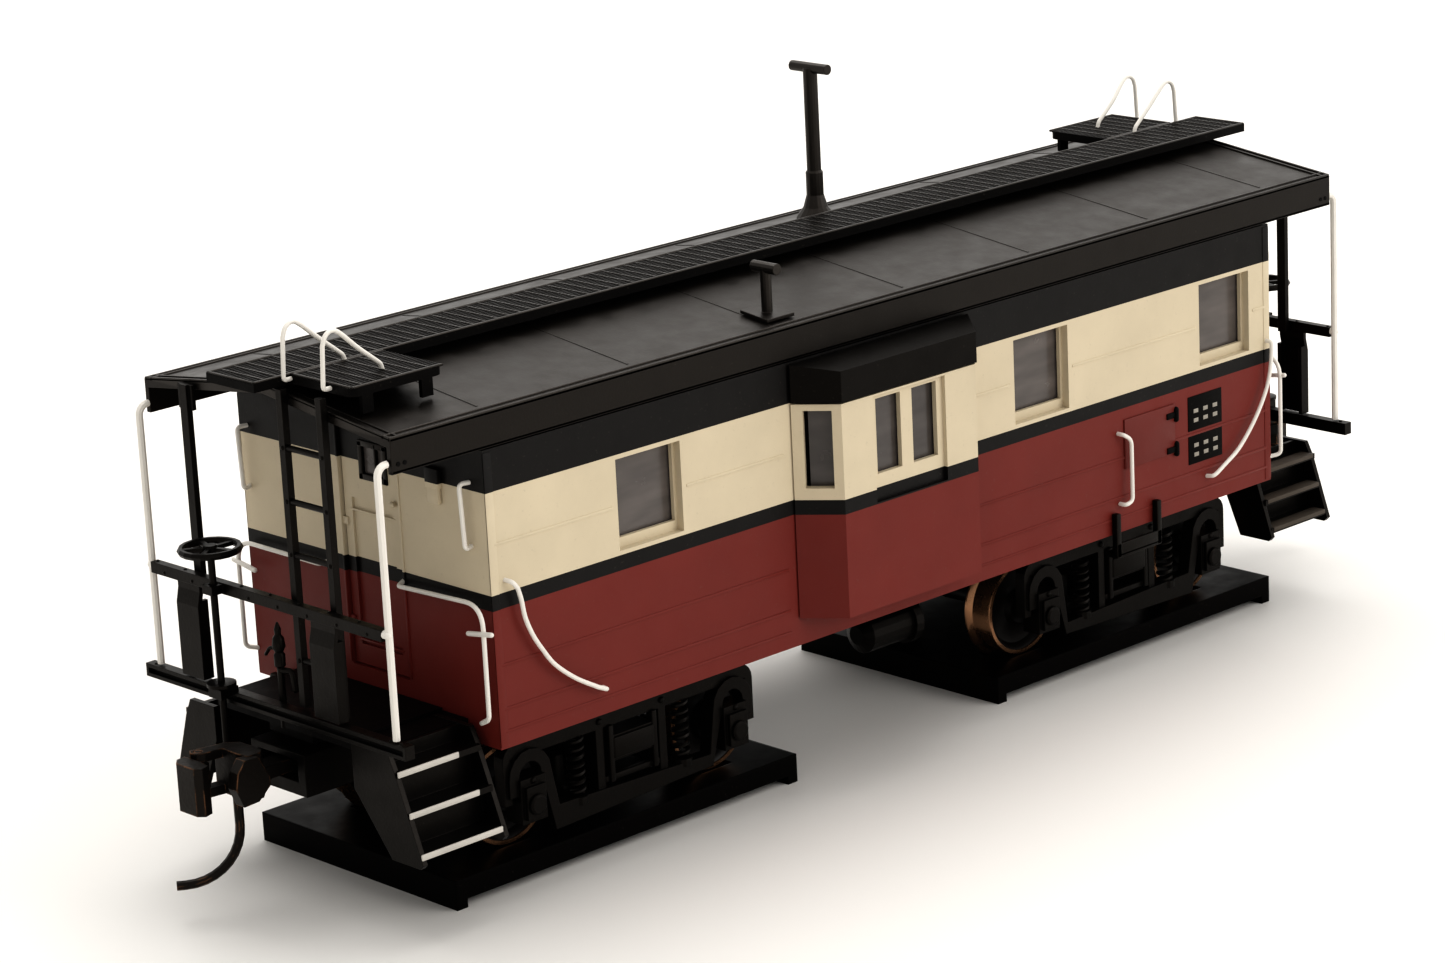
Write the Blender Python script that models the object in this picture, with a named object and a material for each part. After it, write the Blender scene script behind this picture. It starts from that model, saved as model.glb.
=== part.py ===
"""Bay-window caboose in HO scale (1:87.1), standing in two wheel cradles.

The car runs along X, its ladder side faces -Y, and the floor is z = 0. Lengths are in millimetres and
become metres in the mesh helpers. The two ends are the same parts turned half round about Z, so each end
part is modelled once in the front end's frame (towards -X) and placed under both end empties.
"""

import math

import bmesh
import bpy
from mathutils import Matrix, Vector

MM = 0.001
FIT = 0.15  # gap between a part and the one it rests on or is let into
RUN = 0.06  # running clearance of a shaft in its bearing

# Driving dimensions
HALF_WIDTH = 16.7  # body over its sides, 9 ft 6 in full size
HALF_LENGTH = 51.5  # body over its end walls
ROOF_HALF_LENGTH = 61.2
SILL_FACE = 62.9  # outer face of the end sills
SIDE_BOTTOM = 14.4
DECK_TOP = 18.2
EAVE_BOTTOM = 41.0
EAVE_TOP = 44.0
ROOF_RISE = 2.1  # ridge above the eave
EAVE_HALF_WIDTH = HALF_WIDTH + 0.1
WALL = 1.2
TRUCK_X = 33.4
HALF_WHEELBASE = 12.2
AXLE_Z = 7.3
TREAD_RADIUS = 4.8  # 33 in wheels
FLANGE = 0.62  # the wheel flange's height over the tread
COUPLER_Z = 12.5
CRADLE_TOP = 2.7

# Worked out from them
DECK_BOTTOM = DECK_TOP - 1.2
PLATFORM_TOP = 16.7
PLATFORM_HALF_WIDTH = 9.3
CENTRE_SILL_HALF_WIDTH = 3.0
CENTRE_SILL_TOP = PLATFORM_TOP - 0.3  # where it passes under an end wall
SILL_BOTTOM = 16.9
SILL_TOP = 18.1
INNER_HALF_WIDTH = HALF_WIDTH - WALL
INNER_HALF_LENGTH = HALF_LENGTH - WALL
SILL_X = SILL_FACE - 0.5
RIDGE_TOP = EAVE_TOP + ROOF_RISE
ROOF_SHEET = 0.8
BOARD_TOP = RIDGE_TOP + 1.2
BOARD_HALF_WIDTH = 3.25
BOARD_THICKNESS = 0.8
RAIL_Z = 27.4
SILL_THICKNESS = 1.0
UNDERFRAME_BOLSTER_BOTTOM = 13.3
KINGPIN_TOP = 16.0
KINGPIN_RADIUS = 1.0
STAFF_RADIUS = 0.33  # the brake staff's

# Windows in the side walls: centre along X. All share their height.
WINDOW_CENTRES = (-32.95, 17.65, 44.55)
WINDOW_WIDTH = 7.6
WINDOW_SILL = 28.5
WINDOW_HEAD = 36.7
SASH = 0.3  # frame left at the glass's sides and top, behind the recess
SASH_SILL = 0.9  # frame left below the glass
SASH_DEPTH = 0.8

# Bay: plan corners along X, and how far its front stands out
BAY_BACK = (-15.8, 7.5)
BAY_FRONT = (-12.9, 4.6)
BAY_Y = 20.45
BAY_WALL = 0.9
BAY_BOTTOM = 17.0
BAY_TOP = 37.0
BAY_PANE_WIDTH = 3.2
BAY_PANES = (-8.2, -3.5)  # near edges of the two front panes, along X
BAY_PANE_Z = (29.4, 36.4)
BAY_RECESS_X = (-8.8, 0.5)  # the shallow recess round them
BAY_RECESS = 0.4
BAY_END_PANE = (1.25, 3.85)  # the pane in a slanted end, measured along it from the side wall


def roof_height(y):
    """Top of the roof at this distance from the centre line."""
    return RIDGE_TOP - ROOF_RISE * abs(y) / EAVE_HALF_WIDTH


# ---- materials -------------------------------------------------------------------------------------


def paint(name, colour, roughness, metallic=0.0):
    """A Principled material of one colour."""
    material = bpy.data.materials.new(name)
    material.use_nodes = True
    shader = material.node_tree.nodes["Principled BSDF"]
    shader.inputs["Base Color"].default_value = (*colour, 1.0)
    shader.inputs["Roughness"].default_value = roughness
    shader.inputs["Metallic"].default_value = metallic
    material.diffuse_color = (*colour, 1.0)
    return material


# ---- mesh helpers ----------------------------------------------------------------------------------


def solid_from(bm):
    """A linked object made from this bmesh, with its faces pointing out."""
    bmesh.ops.recalc_face_normals(bm, faces=bm.faces)
    mesh = bpy.data.meshes.new("solid")
    bm.to_mesh(mesh)
    bm.free()
    thing = bpy.data.objects.new("solid", mesh)
    bpy.context.collection.objects.link(thing)
    return thing


def block(x, y, z):
    """A box from three (low, high) pairs."""
    bm = bmesh.new()
    bmesh.ops.create_cube(bm, size=1.0)
    for vert in bm.verts:
        place = [low + (high - low) * (co + 0.5) for (low, high), co in zip((x, y, z), vert.co)]
        vert.co = Vector(place) * MM
    return solid_from(bm)


def prism(outline, along, low, high):
    """An outline of (a, b) points extruded along an axis. It lies in the other two, in X, Y, Z order."""
    axis = "xyz".index(along)
    bm = bmesh.new()

    def corner(point, height):
        co = list(point)
        co.insert(axis, height)
        return bm.verts.new(Vector(co) * MM)

    bottom = [corner(point, low) for point in outline]
    top = [corner(point, high) for point in outline]
    bm.faces.new(bottom)
    bm.faces.new(reversed(top))
    for i in range(len(outline)):
        j = (i + 1) % len(outline)
        bm.faces.new((bottom[i], top[i], top[j], bottom[j]))
    return solid_from(bm)


def turned(profile, axis="z", centre=(0, 0, 0), sides=20):
    """A profile of (along, radius) points turned about an axis, from end to end. Its ends close flat."""
    bm = bmesh.new()
    rings = []
    for along, radius in profile:
        ring = []
        for i in range(sides):
            angle = 2 * math.pi * (i + 0.5) / sides
            co = (radius * math.cos(angle), radius * math.sin(angle), along)
            ring.append(bm.verts.new(Vector(co) * MM))
        rings.append(ring)
    for lower, upper in zip(rings, rings[1:]):
        for i in range(sides):
            j = (i + 1) % sides
            bm.faces.new((lower[i], lower[j], upper[j], upper[i]))
    bm.faces.new(rings[0])
    bm.faces.new(rings[-1])
    quarter = math.pi / 2
    turn = {"x": Matrix.Rotation(quarter, 4, "Y"), "y": Matrix.Rotation(-quarter, 4, "X"), "z": Matrix()}
    bm.transform(Matrix.Translation(Vector(centre) * MM) @ turn[axis])
    return solid_from(bm)


def rod(axis, low, high, radius, centre=(0, 0, 0), sides=12):
    """A plain cylinder along an axis, between two heights on it."""
    return turned(((low, radius), (high, radius)), axis, centre, sides)


def ring(radius, thickness, height, sides=20, section=6):
    """A round-section ring lying flat about the Z axis."""
    bm = bmesh.new()
    rows = []
    for i in range(sides):
        around = 2 * math.pi * i / sides
        row = []
        for j in range(section):
            angle = 2 * math.pi * j / section
            reach = radius + thickness * math.cos(angle)
            co = (reach * math.cos(around), reach * math.sin(around), height + thickness * math.sin(angle))
            row.append(bm.verts.new(Vector(co) * MM))
        rows.append(row)
    for i in range(sides):
        for j in range(section):
            k = (j + 1) % section
            following = rows[(i + 1) % sides]
            bm.faces.new((rows[i][j], following[j], following[k], rows[i][k]))
    return solid_from(bm)


def wire(points, radius, sides=8):
    """A round wire through these points, closed at both ends."""
    places = [Vector(point) * MM for point in points]
    bm = bmesh.new()
    rows = []
    side = None
    for i, place in enumerate(places):
        before = places[max(i - 1, 0)]
        after = places[min(i + 1, len(places) - 1)]
        ahead = (after - before).normalized()
        if side is None:
            side = ahead.orthogonal().normalized()
        side = (side - ahead * side.dot(ahead)).normalized()
        across = ahead.cross(side)
        row = []
        for j in range(sides):
            angle = 2 * math.pi * j / sides
            offset = (side * math.cos(angle) + across * math.sin(angle)) * radius * MM
            row.append(bm.verts.new(place + offset))
        rows.append(row)
    for lower, upper in zip(rows, rows[1:]):
        for j in range(sides):
            k = (j + 1) % sides
            bm.faces.new((lower[j], lower[k], upper[k], upper[j]))
    bm.faces.new(rows[0])
    bm.faces.new(rows[-1])
    return solid_from(bm)


def ribbon(points, thickness):
    """The outline of a strip of even thickness that follows these points in a plane."""
    places = [Vector(point) for point in points]
    left = []
    right = []
    for i, place in enumerate(places):
        before = places[max(i - 1, 0)]
        after = places[min(i + 1, len(places) - 1)]
        ahead = (after - before).normalized()
        first = (place - before).normalized() if i else ahead
        normal = Vector((-ahead.y, ahead.x))
        reach = thickness / 2 / max(first.dot(ahead), 0.5)
        left.append(tuple(place + normal * reach))
        right.append(tuple(place - normal * reach))
    return left + right[::-1]


def arc(centre, radius, start, end, steps):
    """Points on an arc in a plane, angles in degrees."""
    angles = [math.radians(start + (end - start) * i / steps) for i in range(steps + 1)]
    return [(centre[0] + radius * math.cos(a), centre[1] + radius * math.sin(a)) for a in angles]


def combine(body, tools, operation):
    """Applies one Boolean per tool to the body, then removes the tools."""
    for tool in tools:
        modifier = body.modifiers.new(operation, "BOOLEAN")
        modifier.operation = operation
        modifier.object = tool
    graph = bpy.context.evaluated_depsgraph_get()
    mesh = bpy.data.meshes.new_from_object(body.evaluated_get(graph))
    body.modifiers.clear()
    body.data = mesh
    for tool in tools:
        bpy.data.objects.remove(tool)


def part(name, material, solids, cuts=(), studs=(), home=None, at=(0, 0, 0)):
    """One named object: the solids joined, then cut, then given studs inside the cuts.

    The solids are placed in the home's frame, and `at` is where the object's own origin lies in it.
    """
    body = solids[0]
    for tools, operation in ((solids[1:], "UNION"), (cuts, "DIFFERENCE"), (studs, "UNION")):
        if tools:
            combine(body, tools, operation)
    body.data.transform(Matrix.Translation(-Vector(at) * MM))
    body.location = Vector(at) * MM
    body.data.materials.clear()
    body.data.materials.append(material)
    body.data.shade_smooth()
    body.data.set_sharp_from_angle(angle=math.radians(30))
    body.name = name
    body.data.name = name
    body.parent = home
    return body


def empty(name, location, turn=0.0, home=None):
    """An empty that carries parts: its place is in millimetres, its turn about Z in radians."""
    thing = bpy.data.objects.new(name, None)
    thing.location = Vector(location) * MM
    thing.rotation_euler.z = turn
    thing.parent = home
    bpy.context.collection.objects.link(thing)
    return thing


# ---- car body --------------------------------------------------------------------------------------


def window_cuts(side, centre):
    """The recess and the glass opening of one side window; side is -1 on the ladder side."""
    low = centre - WINDOW_WIDTH / 2
    high = centre + WINDOW_WIDTH / 2
    outside = side * (HALF_WIDTH + 1)
    step = side * (HALF_WIDTH - SASH_DEPTH)
    inside = side * (INNER_HALF_WIDTH - 1)
    recess = block((low, high), sorted((outside, step)), (WINDOW_SILL, WINDOW_HEAD))
    height = (WINDOW_SILL + SASH_SILL, WINDOW_HEAD - SASH)
    return [recess, block((low + SASH, high - SASH), sorted((outside, inside)), height)]


DOOR_Y = -1.15  # the end door's centre, in the front end's frame
DOOR_HALF_WIDTH = 3.95
DOOR_TOP = 40.2
DOOR_WINDOW_Y = (-3.6, 0.2)
DOOR_WINDOW_Z = (35.5, 38.9)
DOOR_PANEL_Z = (20.2, 33.6)


def body_shell(material):
    """Sides and ends in one shell, open below and above, with gabled ends that close the roof space."""
    gable = INNER_HALF_WIDTH + 0.5
    under_roof = ROOF_SHEET + FIT + 0.02
    outline = [
        (-HALF_WIDTH, SIDE_BOTTOM),
        (HALF_WIDTH, SIDE_BOTTOM),
        (HALF_WIDTH, EAVE_BOTTOM - FIT),
        (gable, EAVE_BOTTOM - FIT),
        (gable, roof_height(gable) - under_roof),
        (0, RIDGE_TOP - under_roof),
        (-gable, roof_height(gable) - under_roof),
        (-gable, EAVE_BOTTOM - FIT),
        (-HALF_WIDTH, EAVE_BOTTOM - FIT),
    ]
    shell = prism(outline, "x", -HALF_LENGTH, HALF_LENGTH)
    inside = block(
        (-INNER_HALF_LENGTH, INNER_HALF_LENGTH), (-INNER_HALF_WIDTH, INNER_HALF_WIDTH), (0, RIDGE_TOP + 5)
    )
    notch_y = (-CENTRE_SILL_HALF_WIDTH - FIT, CENTRE_SILL_HALF_WIDTH + FIT)
    notch = block((-HALF_LENGTH - 1, HALF_LENGTH + 1), notch_y, (0, CENTRE_SILL_TOP + FIT))
    cuts = [inside, notch]
    for side in (-1, 1):
        for centre in WINDOW_CENTRES:
            cuts += window_cuts(side, centre)
        bay_opening = block(
            (BAY_BACK[0] + 1.4, BAY_BACK[1] - 1.4),
            sorted((side * (HALF_WIDTH + 1), side * (INNER_HALF_WIDTH - 1))),
            (BAY_BOTTOM + 2, BAY_TOP - 1),
        )
        cuts.append(bay_opening)
    for end in (-1, 1):
        middle = -end * DOOR_Y
        cuts.append(
            block(
                sorted((end * (HALF_LENGTH + 1), end * (INNER_HALF_LENGTH - 1))),
                (middle - DOOR_HALF_WIDTH, middle + DOOR_HALF_WIDTH),
                (DECK_TOP, DOOR_TOP),
            )
        )
    return part("body_shell", material, [shell], cuts)


def roof(material):
    """Low-pitched sheet with a deep flange down each eave, over the body and both platforms."""
    inner = EAVE_HALF_WIDTH - 0.5
    outline = [
        (-EAVE_HALF_WIDTH, EAVE_BOTTOM),
        (-EAVE_HALF_WIDTH, EAVE_TOP),
        (0, RIDGE_TOP),
        (EAVE_HALF_WIDTH, EAVE_TOP),
        (EAVE_HALF_WIDTH, EAVE_BOTTOM),
        (inner, EAVE_BOTTOM),
        (inner, roof_height(inner) - ROOF_SHEET),
        (0, RIDGE_TOP - ROOF_SHEET),
        (-inner, roof_height(inner) - ROOF_SHEET),
        (-inner, EAVE_BOTTOM),
    ]
    return part("roof", material, [prism(outline, "x", -ROOF_HALF_LENGTH, ROOF_HALF_LENGTH)])


def bay_outline(side, inset, back):
    """Plan of the bay, drawn in by a wall thickness, with its open back at this distance from the middle."""
    slope = (BAY_FRONT[0] - BAY_BACK[0]) / (BAY_Y - HALF_WIDTH)
    slant = inset * (math.hypot(slope, 1) - slope)
    front = BAY_Y - inset
    reach = slope * (front - back)
    near = BAY_FRONT[0] + slant
    far = BAY_FRONT[1] - slant
    corners = [(near - reach, back), (near, front), (far, front), (far + reach, back)]
    return [(x, side * y) for x, y in corners]


def bay(side, name, material):
    """Angled bay with two windows in its front, in a shallow recess, and one in each slanted end."""
    back = HALF_WIDTH + FIT
    shell = prism(bay_outline(side, 0, back), "z", BAY_BOTTOM, BAY_TOP)
    inside = prism(bay_outline(side, BAY_WALL, back - 2), "z", BAY_BOTTOM + 0.8, BAY_TOP + 1)
    outside = side * (BAY_Y + 1)
    recess_z = (WINDOW_SILL - 1.6, WINDOW_HEAD + 0.1)
    recess = block(BAY_RECESS_X, sorted((outside, side * (BAY_Y - BAY_RECESS))), recess_z)
    cuts = [inside, recess]
    for low in BAY_PANES:
        through = sorted((outside, side * (BAY_Y - 2)))
        cuts.append(block((low, low + BAY_PANE_WIDTH), through, BAY_PANE_Z))
    lean = math.atan2(BAY_Y - HALF_WIDTH, BAY_FRONT[0] - BAY_BACK[0])
    for end, corner_x in ((-1, BAY_BACK[0]), (1, BAY_BACK[1])):
        near, far = BAY_END_PANE
        pane = block(sorted((-end * near, -end * far)), (-2, 2), (BAY_PANE_Z[0] - 0.2, BAY_PANE_Z[1]))
        turn = Matrix.Rotation(-end * side * lean, 4, "Z")
        pane.data.transform(Matrix.Translation(Vector((corner_x, side * HALF_WIDTH, 0)) * MM) @ turn)
        cuts.append(pane)
    return part(name, material, [shell], cuts)


def bay_roof(side, name, material):
    """Flat bay roof that falls a little towards its front and reaches a little past the walls."""
    back = EAVE_HALF_WIDTH + FIT
    overhang = 0.15
    thickness = 4.0
    slab = prism(bay_outline(side, -overhang, back), "z", BAY_TOP + FIT, BAY_TOP + thickness)
    over = BAY_TOP + thickness + 2
    fall = [(back - 1, BAY_TOP + 3.8), (BAY_Y + 1, BAY_TOP + 2.9), (BAY_Y + 1, over), (back - 1, over)]
    fall = [(side * y, z) for y, z in fall]
    return part(name, material, [slab], [prism(fall, "x", BAY_BACK[0] - 2, BAY_BACK[1] + 2)])


def glazing(side, name, material):
    """One clear strip behind the three side windows."""
    face = INNER_HALF_WIDTH - FIT
    thickness = 0.5
    past = WINDOW_WIDTH / 2 + 1
    ends = (WINDOW_CENTRES[0] - past, WINDOW_CENTRES[-1] + past)
    height = (WINDOW_SILL - 0.9, WINDOW_HEAD + 1.3)
    return part(name, material, [block(ends, sorted((side * face, side * (face - thickness))), height)])


def bay_glazing(side, name, material):
    """Clear strip bent to the inside of the bay."""
    back = HALF_WIDTH + 0.6
    thickness = 0.4
    outer = prism(bay_outline(side, BAY_WALL + FIT, back), "z", WINDOW_SILL - 0.1, BAY_TOP - 0.1)
    inner = prism(bay_outline(side, BAY_WALL + FIT + thickness, back - 2), "z", BAY_BOTTOM, BAY_TOP + 2)
    return part(name, material, [outer], [inner])


def underframe(material):
    """Floor inside the body and a lower platform at each end, on a fishbellied centre sill with bearers."""
    inside = INNER_HALF_LENGTH - FIT
    half_width = INNER_HALF_WIDTH - FIT
    solids = [block((-inside, inside), (-half_width, half_width), (DECK_BOTTOM, DECK_TOP))]
    for end in (-1, 1):
        x = sorted((end * (HALF_LENGTH + FIT), end * (SILL_FACE - SILL_THICKNESS - FIT)))
        y = (-PLATFORM_HALF_WIDTH, PLATFORM_HALF_WIDTH)
        solids.append(block(x, y, (PLATFORM_TOP - 1, PLATFORM_TOP)))
    top = DECK_BOTTOM + 0.3
    shallow = 14.6  # underside of the centre sill over the trucks
    belly = [(-inside, top), (-inside, CENTRE_SILL_TOP), (-61, CENTRE_SILL_TOP)]
    belly += [(-61, shallow), (-24, shallow), (-18, 11.6)]
    belly += [(-x, z) for x, z in reversed(belly)]
    solids.append(prism(belly, "y", -CENTRE_SILL_HALF_WIDTH, CENTRE_SILL_HALF_WIDTH))
    cuts = []
    for x in (-TRUCK_X, TRUCK_X):
        solids.append(block((x - 2.5, x + 2.5), (-14, 14), (UNDERFRAME_BOLSTER_BOTTOM, top)))
        cuts.append(rod("z", 12, KINGPIN_TOP + 0.2, KINGPIN_RADIUS + 0.2, (x, 0, 0), 16))
    root, tip = 2.8, 15.2
    for x in (-12, 0, 12, 22, 45):
        for side in (-1, 1):
            bearer = [(side * root, 14.9), (side * tip, 16.2), (side * tip, top), (side * root, top)]
            solids.append(prism(bearer, "x", side * x - 0.4, side * x + 0.4))
    return part("underframe", material, solids, cuts)


def ballast_weight(material):
    """Brass block that gives the model its weight."""
    low = DECK_TOP + FIT
    high = 22.4
    half_width = 9.0
    bevel = 0.8
    right = [(half_width, low), (half_width, high - bevel), (half_width - bevel, high)]
    outline = right + [(-y, z) for y, z in reversed(right)]
    return part("ballast_weight", material, [prism(outline, "x", -38, 38)])


# ---- roof fittings ---------------------------------------------------------------------------------

BOARD_HALF_LENGTH = 64.4
LATERAL_X = (-60.5, -50.6)  # the lateral board's span along the car, in the front end's frame
LATERAL_Y = -11.4
LATERAL_CORNER = 0.9  # radius of its two outer corners


def lateral_outline(turn):
    """Plan of a lateral board, its outer corners rounded. A turn of -1 gives the rear end's."""
    near, far = LATERAL_X
    low = LATERAL_Y + LATERAL_CORNER
    outline = [(near, -3.0)] + arc((near + LATERAL_CORNER, low), LATERAL_CORNER, 180, 270, 5)
    outline += arc((far - LATERAL_CORNER, low), LATERAL_CORNER, 270, 360, 5) + [(far, -3.0)]
    return [(turn * x, turn * y) for x, y in outline]


def running_board(material):
    """Walkway along the ridge, with a lateral board at each end on opposite sides, all on low supports."""
    board = (BOARD_TOP - BOARD_THICKNESS, BOARD_TOP)
    inside = BOARD_TOP - BOARD_THICKNESS / 2
    solids = [block((-BOARD_HALF_LENGTH, BOARD_HALF_LENGTH), (-BOARD_HALF_WIDTH, BOARD_HALF_WIDTH), board)]
    foot = roof_height(LATERAL_Y + 0.6) + FIT + 0.05
    for turn in (1, -1):
        solids.append(prism(lateral_outline(turn), "z", *board))
        leg_y = sorted((turn * LATERAL_Y, turn * (LATERAL_Y + 0.4)))
        for x in (LATERAL_X[0] + 1.6, LATERAL_X[1] - 1.9):
            leg_x = sorted((turn * (x - 0.6), turn * (x + 0.6)))
            solids.append(block(leg_x, leg_y, (foot, inside)))
    for i in range(11):
        x = 11 * (i - 5)
        solids.append(block((x - 0.4, x + 0.4), (-2.6, 2.6), (RIDGE_TOP + FIT, inside)))
    return part("running_board", material, solids)


def roof_cutter():
    """The roof and the gap over it, to shape what stands on the slope."""
    low = 20
    reach = EAVE_HALF_WIDTH
    eave = EAVE_TOP + FIT
    outline = [(-reach, low), (reach, low), (reach, eave), (0, RIDGE_TOP + FIT), (-reach, eave)]
    return prism(outline, "x", -ROOF_HALF_LENGTH, ROOF_HALF_LENGTH)


STACK = (12.0, 7.0)
STACK_TOP = 60.6
VENT = (-14.7, -13.4)
VENT_TOP = 48.9


def smoke_stack(material):
    """Stove pipe with a flared base, a collar and a crosswise cap tube."""
    centre = (*STACK, 0)
    flare = [(44, 2.1), (46.1, 1.9), (47.0, 1.2), (48.2, 0.85)]
    profile = flare + [(50.4, 0.85), (50.6, 0.7), (STACK_TOP, 0.7)]
    cap = rod("y", STACK[1] - 2.4, STACK[1] + 2.4, 0.5, (STACK[0], 0, STACK_TOP))
    return part("smoke_stack", material, [turned(profile, "z", centre, 16), cap], [roof_cutter()])


def roof_vent(material):
    """Short pipe with a crosswise cap tube, on a square flange."""
    x, y = VENT
    pipe = rod("z", 43, VENT_TOP, 0.5, (x, y, 0))
    cap = rod("y", y - 1.5, y + 1.5, 0.52, (x, 0, VENT_TOP))
    half = 1.7
    rise = half * ROOF_RISE / EAVE_HALF_WIDTH
    lift = roof_height(y) + FIT + 0.3
    outline = [(y - half, 43), (y + half, 43), (y + half, lift + rise), (y - half, lift - rise)]
    flange = prism(outline, "x", x - half, x + half)
    return part("roof_vent", material, [pipe, cap, flange], [roof_cutter()])


# ---- end platforms, in the front end's frame ----------------------------------------------------------

STAFF = (-63.4, 6.2)  # brake staff
STEP_X = (-62.0, -52.5)
TREAD_DEPTH = 2.9
TREAD_THICKNESS = 0.55
STRINGER = 0.5  # thickness of the steps' side plates
# The steps on an end's right are -1 and those on its left, which are smaller, are 1.
STEP_TOPS = {-1: (15.1, 11.7, 8.3), 1: (14.4, 11.5, 8.7)}
STEP_PLATE_TOP = {-1: 16.5, 1: 15.5}
STEP_FRONT = {-1: 15.6, 1: 14.2}  # front of the top tread
STEP_SPREAD = {-1: 2.4, 1: 1.5}  # how far the lowest tread stands out past it


def end_sill(name, material, home):
    """Channel sill across the platform's end, with the brake staff's bracket."""
    x = (-SILL_FACE, -SILL_FACE + SILL_THICKNESS)
    half_width = 18
    beam = block(x, (-half_width, half_width), (SILL_BOTTOM, SILL_TOP))
    bracket = block(
        (STAFF[0] - 0.8, x[1] - 0.4),
        (STAFF[1] - 0.9, STAFF[1] + 0.9),
        (SILL_TOP - 0.5, SILL_TOP + 0.4),
    )
    edge = 0.35
    groove_y = (edge - half_width, half_width - edge)
    groove = block((x[0] - 1, x[0] + 0.45), groove_y, (SILL_BOTTOM + edge, SILL_TOP - edge))
    bore = rod("z", 15, 21, STAFF_BORE, (*STAFF, 0))
    return part(name, material, [beam, bracket], [groove, bore], home=home)


def steps(side, name, material, home):
    """Three treads and their risers between two side plates. Side is -1 on the end frame's right."""
    tops = STEP_TOPS[side]
    top_front = STEP_FRONT[side]
    low_front = top_front + STEP_SPREAD[side]
    inner = 9.6
    plate_top = STEP_PLATE_TOP[side]
    foot = tops[-1] - 1.3
    front = [(top_front - 1.15, plate_top), (top_front - 0.4, plate_top - 1.5)]
    front += [(low_front + 0.2, foot + 0.4), (low_front - 0.2, foot)]
    outline = [(inner, plate_top), *front, (low_front - TREAD_DEPTH - 1, foot), (inner, 12.4)]
    outline = [(side * y, z) for y, z in outline]
    solids = [
        prism(outline, "x", STEP_X[0], STEP_X[0] + STRINGER),
        prism(outline, "x", STEP_X[1] - STRINGER, STEP_X[1]),
    ]
    between = (STEP_X[0] + 0.3, STEP_X[1] - 0.3)
    riser_top = plate_top - 0.1
    for i, tread in enumerate(tops):
        front = top_front + STEP_SPREAD[side] * i / (len(tops) - 1)
        back = front - TREAD_DEPTH
        riser_y = sorted((side * back, side * (back + 0.4)))
        solids.append(block(between, sorted((side * back, side * front)), (tread - TREAD_THICKNESS, tread)))
        solids.append(block(between, riser_y, (tread - 0.3, riser_top)))
        riser_top = tread - 0.3
    return part(name, material, solids, home=home)


STAFF_BORE = STAFF_RADIUS + RUN + 0.04  # the extra allows for the bore's flat sides
RAIL_FACE = -62.9  # front of the railing
POSTS_Y = ((9.4, 12.5), (-9.4, -6.1))  # the railing's two stanchions
LADDER_X = (-62.0, -61.35)
LADDER_Y = (-3.3, -8.6)
LADDER_TOP = BOARD_TOP - BOARD_THICKNESS - FIT
RUNG_SPACING = 4.7


def railing(name, material, home):
    """Channel rail on two pressed stanchions, whose tops lean in to meet it, and the brake staff's clamp."""
    rail = block((RAIL_FACE, RAIL_FACE + 0.8), (-15.9, 15.9), (RAIL_Z - 0.5, RAIL_Z + 0.5))
    solids = [rail]
    foot = SILL_TOP + FIT
    sheet = 0.4
    lean = 0.3  # how far back a stanchion's top stands
    bend = ((foot, 0), (24.9, 0), (26.2, lean), (27.3, lean))
    face = [(RAIL_FACE + back, z) for z, back in bend]
    face += [(RAIL_FACE + back + sheet, z) for z, back in reversed(bend)]
    for low, high in POSTS_Y:
        solids.append(prism(face, "y", low, high))
        for edge in (low, high - sheet):
            beside_ladder = LADDER_Y[1] < edge < LADDER_Y[0]
            back = LADDER_X[0] if beside_ladder else LADDER_X[0] + 0.2
            solids.append(block((RAIL_FACE + 0.2, back), (edge, edge + sheet), (foot, 25.4)))
    clamp_y = (STAFF[1] - 0.7, STAFF[1] + 0.7)
    solids.append(block((STAFF[0] - 0.7, RAIL_FACE + 0.3), clamp_y, (RAIL_Z - 0.4, RAIL_Z + 0.4)))
    bore = rod("z", RAIL_Z - 2, RAIL_Z + 2, STAFF_BORE, (*STAFF, 0))
    return part(name, material, solids, [bore], home=home)


def ladder(name, material, home):
    """Two flat stiles from the deck to the lateral board, with five rungs."""
    solids = []
    for y in LADDER_Y:
        solids.append(block(LADDER_X, (y - 0.38, y + 0.38), (SILL_TOP + 0.2, LADDER_TOP)))
    middle = sum(LADDER_X) / 2
    for i in range(5):
        z = LADDER_TOP - 5.1 - RUNG_SPACING * i
        solids.append(rod("y", LADDER_Y[1], LADDER_Y[0], 0.27, (middle, 0, z), 8))
    return part(name, material, solids, home=home)


def corner_post(side, name, material, home):
    """Wire post from the sill to the roof, bent in at its top to meet the eave flange."""
    y = side * 16.35
    foot = SILL_TOP + FIT
    top = EAVE_BOTTOM + 0.9
    radius = 0.9
    points = [(-SILL_X, y, foot)]
    points += [(x, y, z) for x, z in arc((-SILL_X + radius, top - radius), radius, 180, 90, 5)]
    points.append((-ROOF_HALF_LENGTH - FIT, y, top))
    return part(name, material, [wire(points, 0.33)], home=home)


def roof_post(name, material, home):
    """Flat post from the railing to the roof's end, wider at the top where it is fixed."""
    y = 10.3
    top = roof_height(y) - 0.2
    back = -ROOF_HALF_LENGTH - FIT
    shaft = block((back - 0.6, back - 0.05), (y - 0.5, y + 0.5), (RAIL_Z - 0.6, top))
    head = block((back - 0.35, back), (y - 1.0, y + 1.0), (EAVE_BOTTOM + 1.4, top))
    return part(name, material, [shaft, head], home=home)


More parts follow.
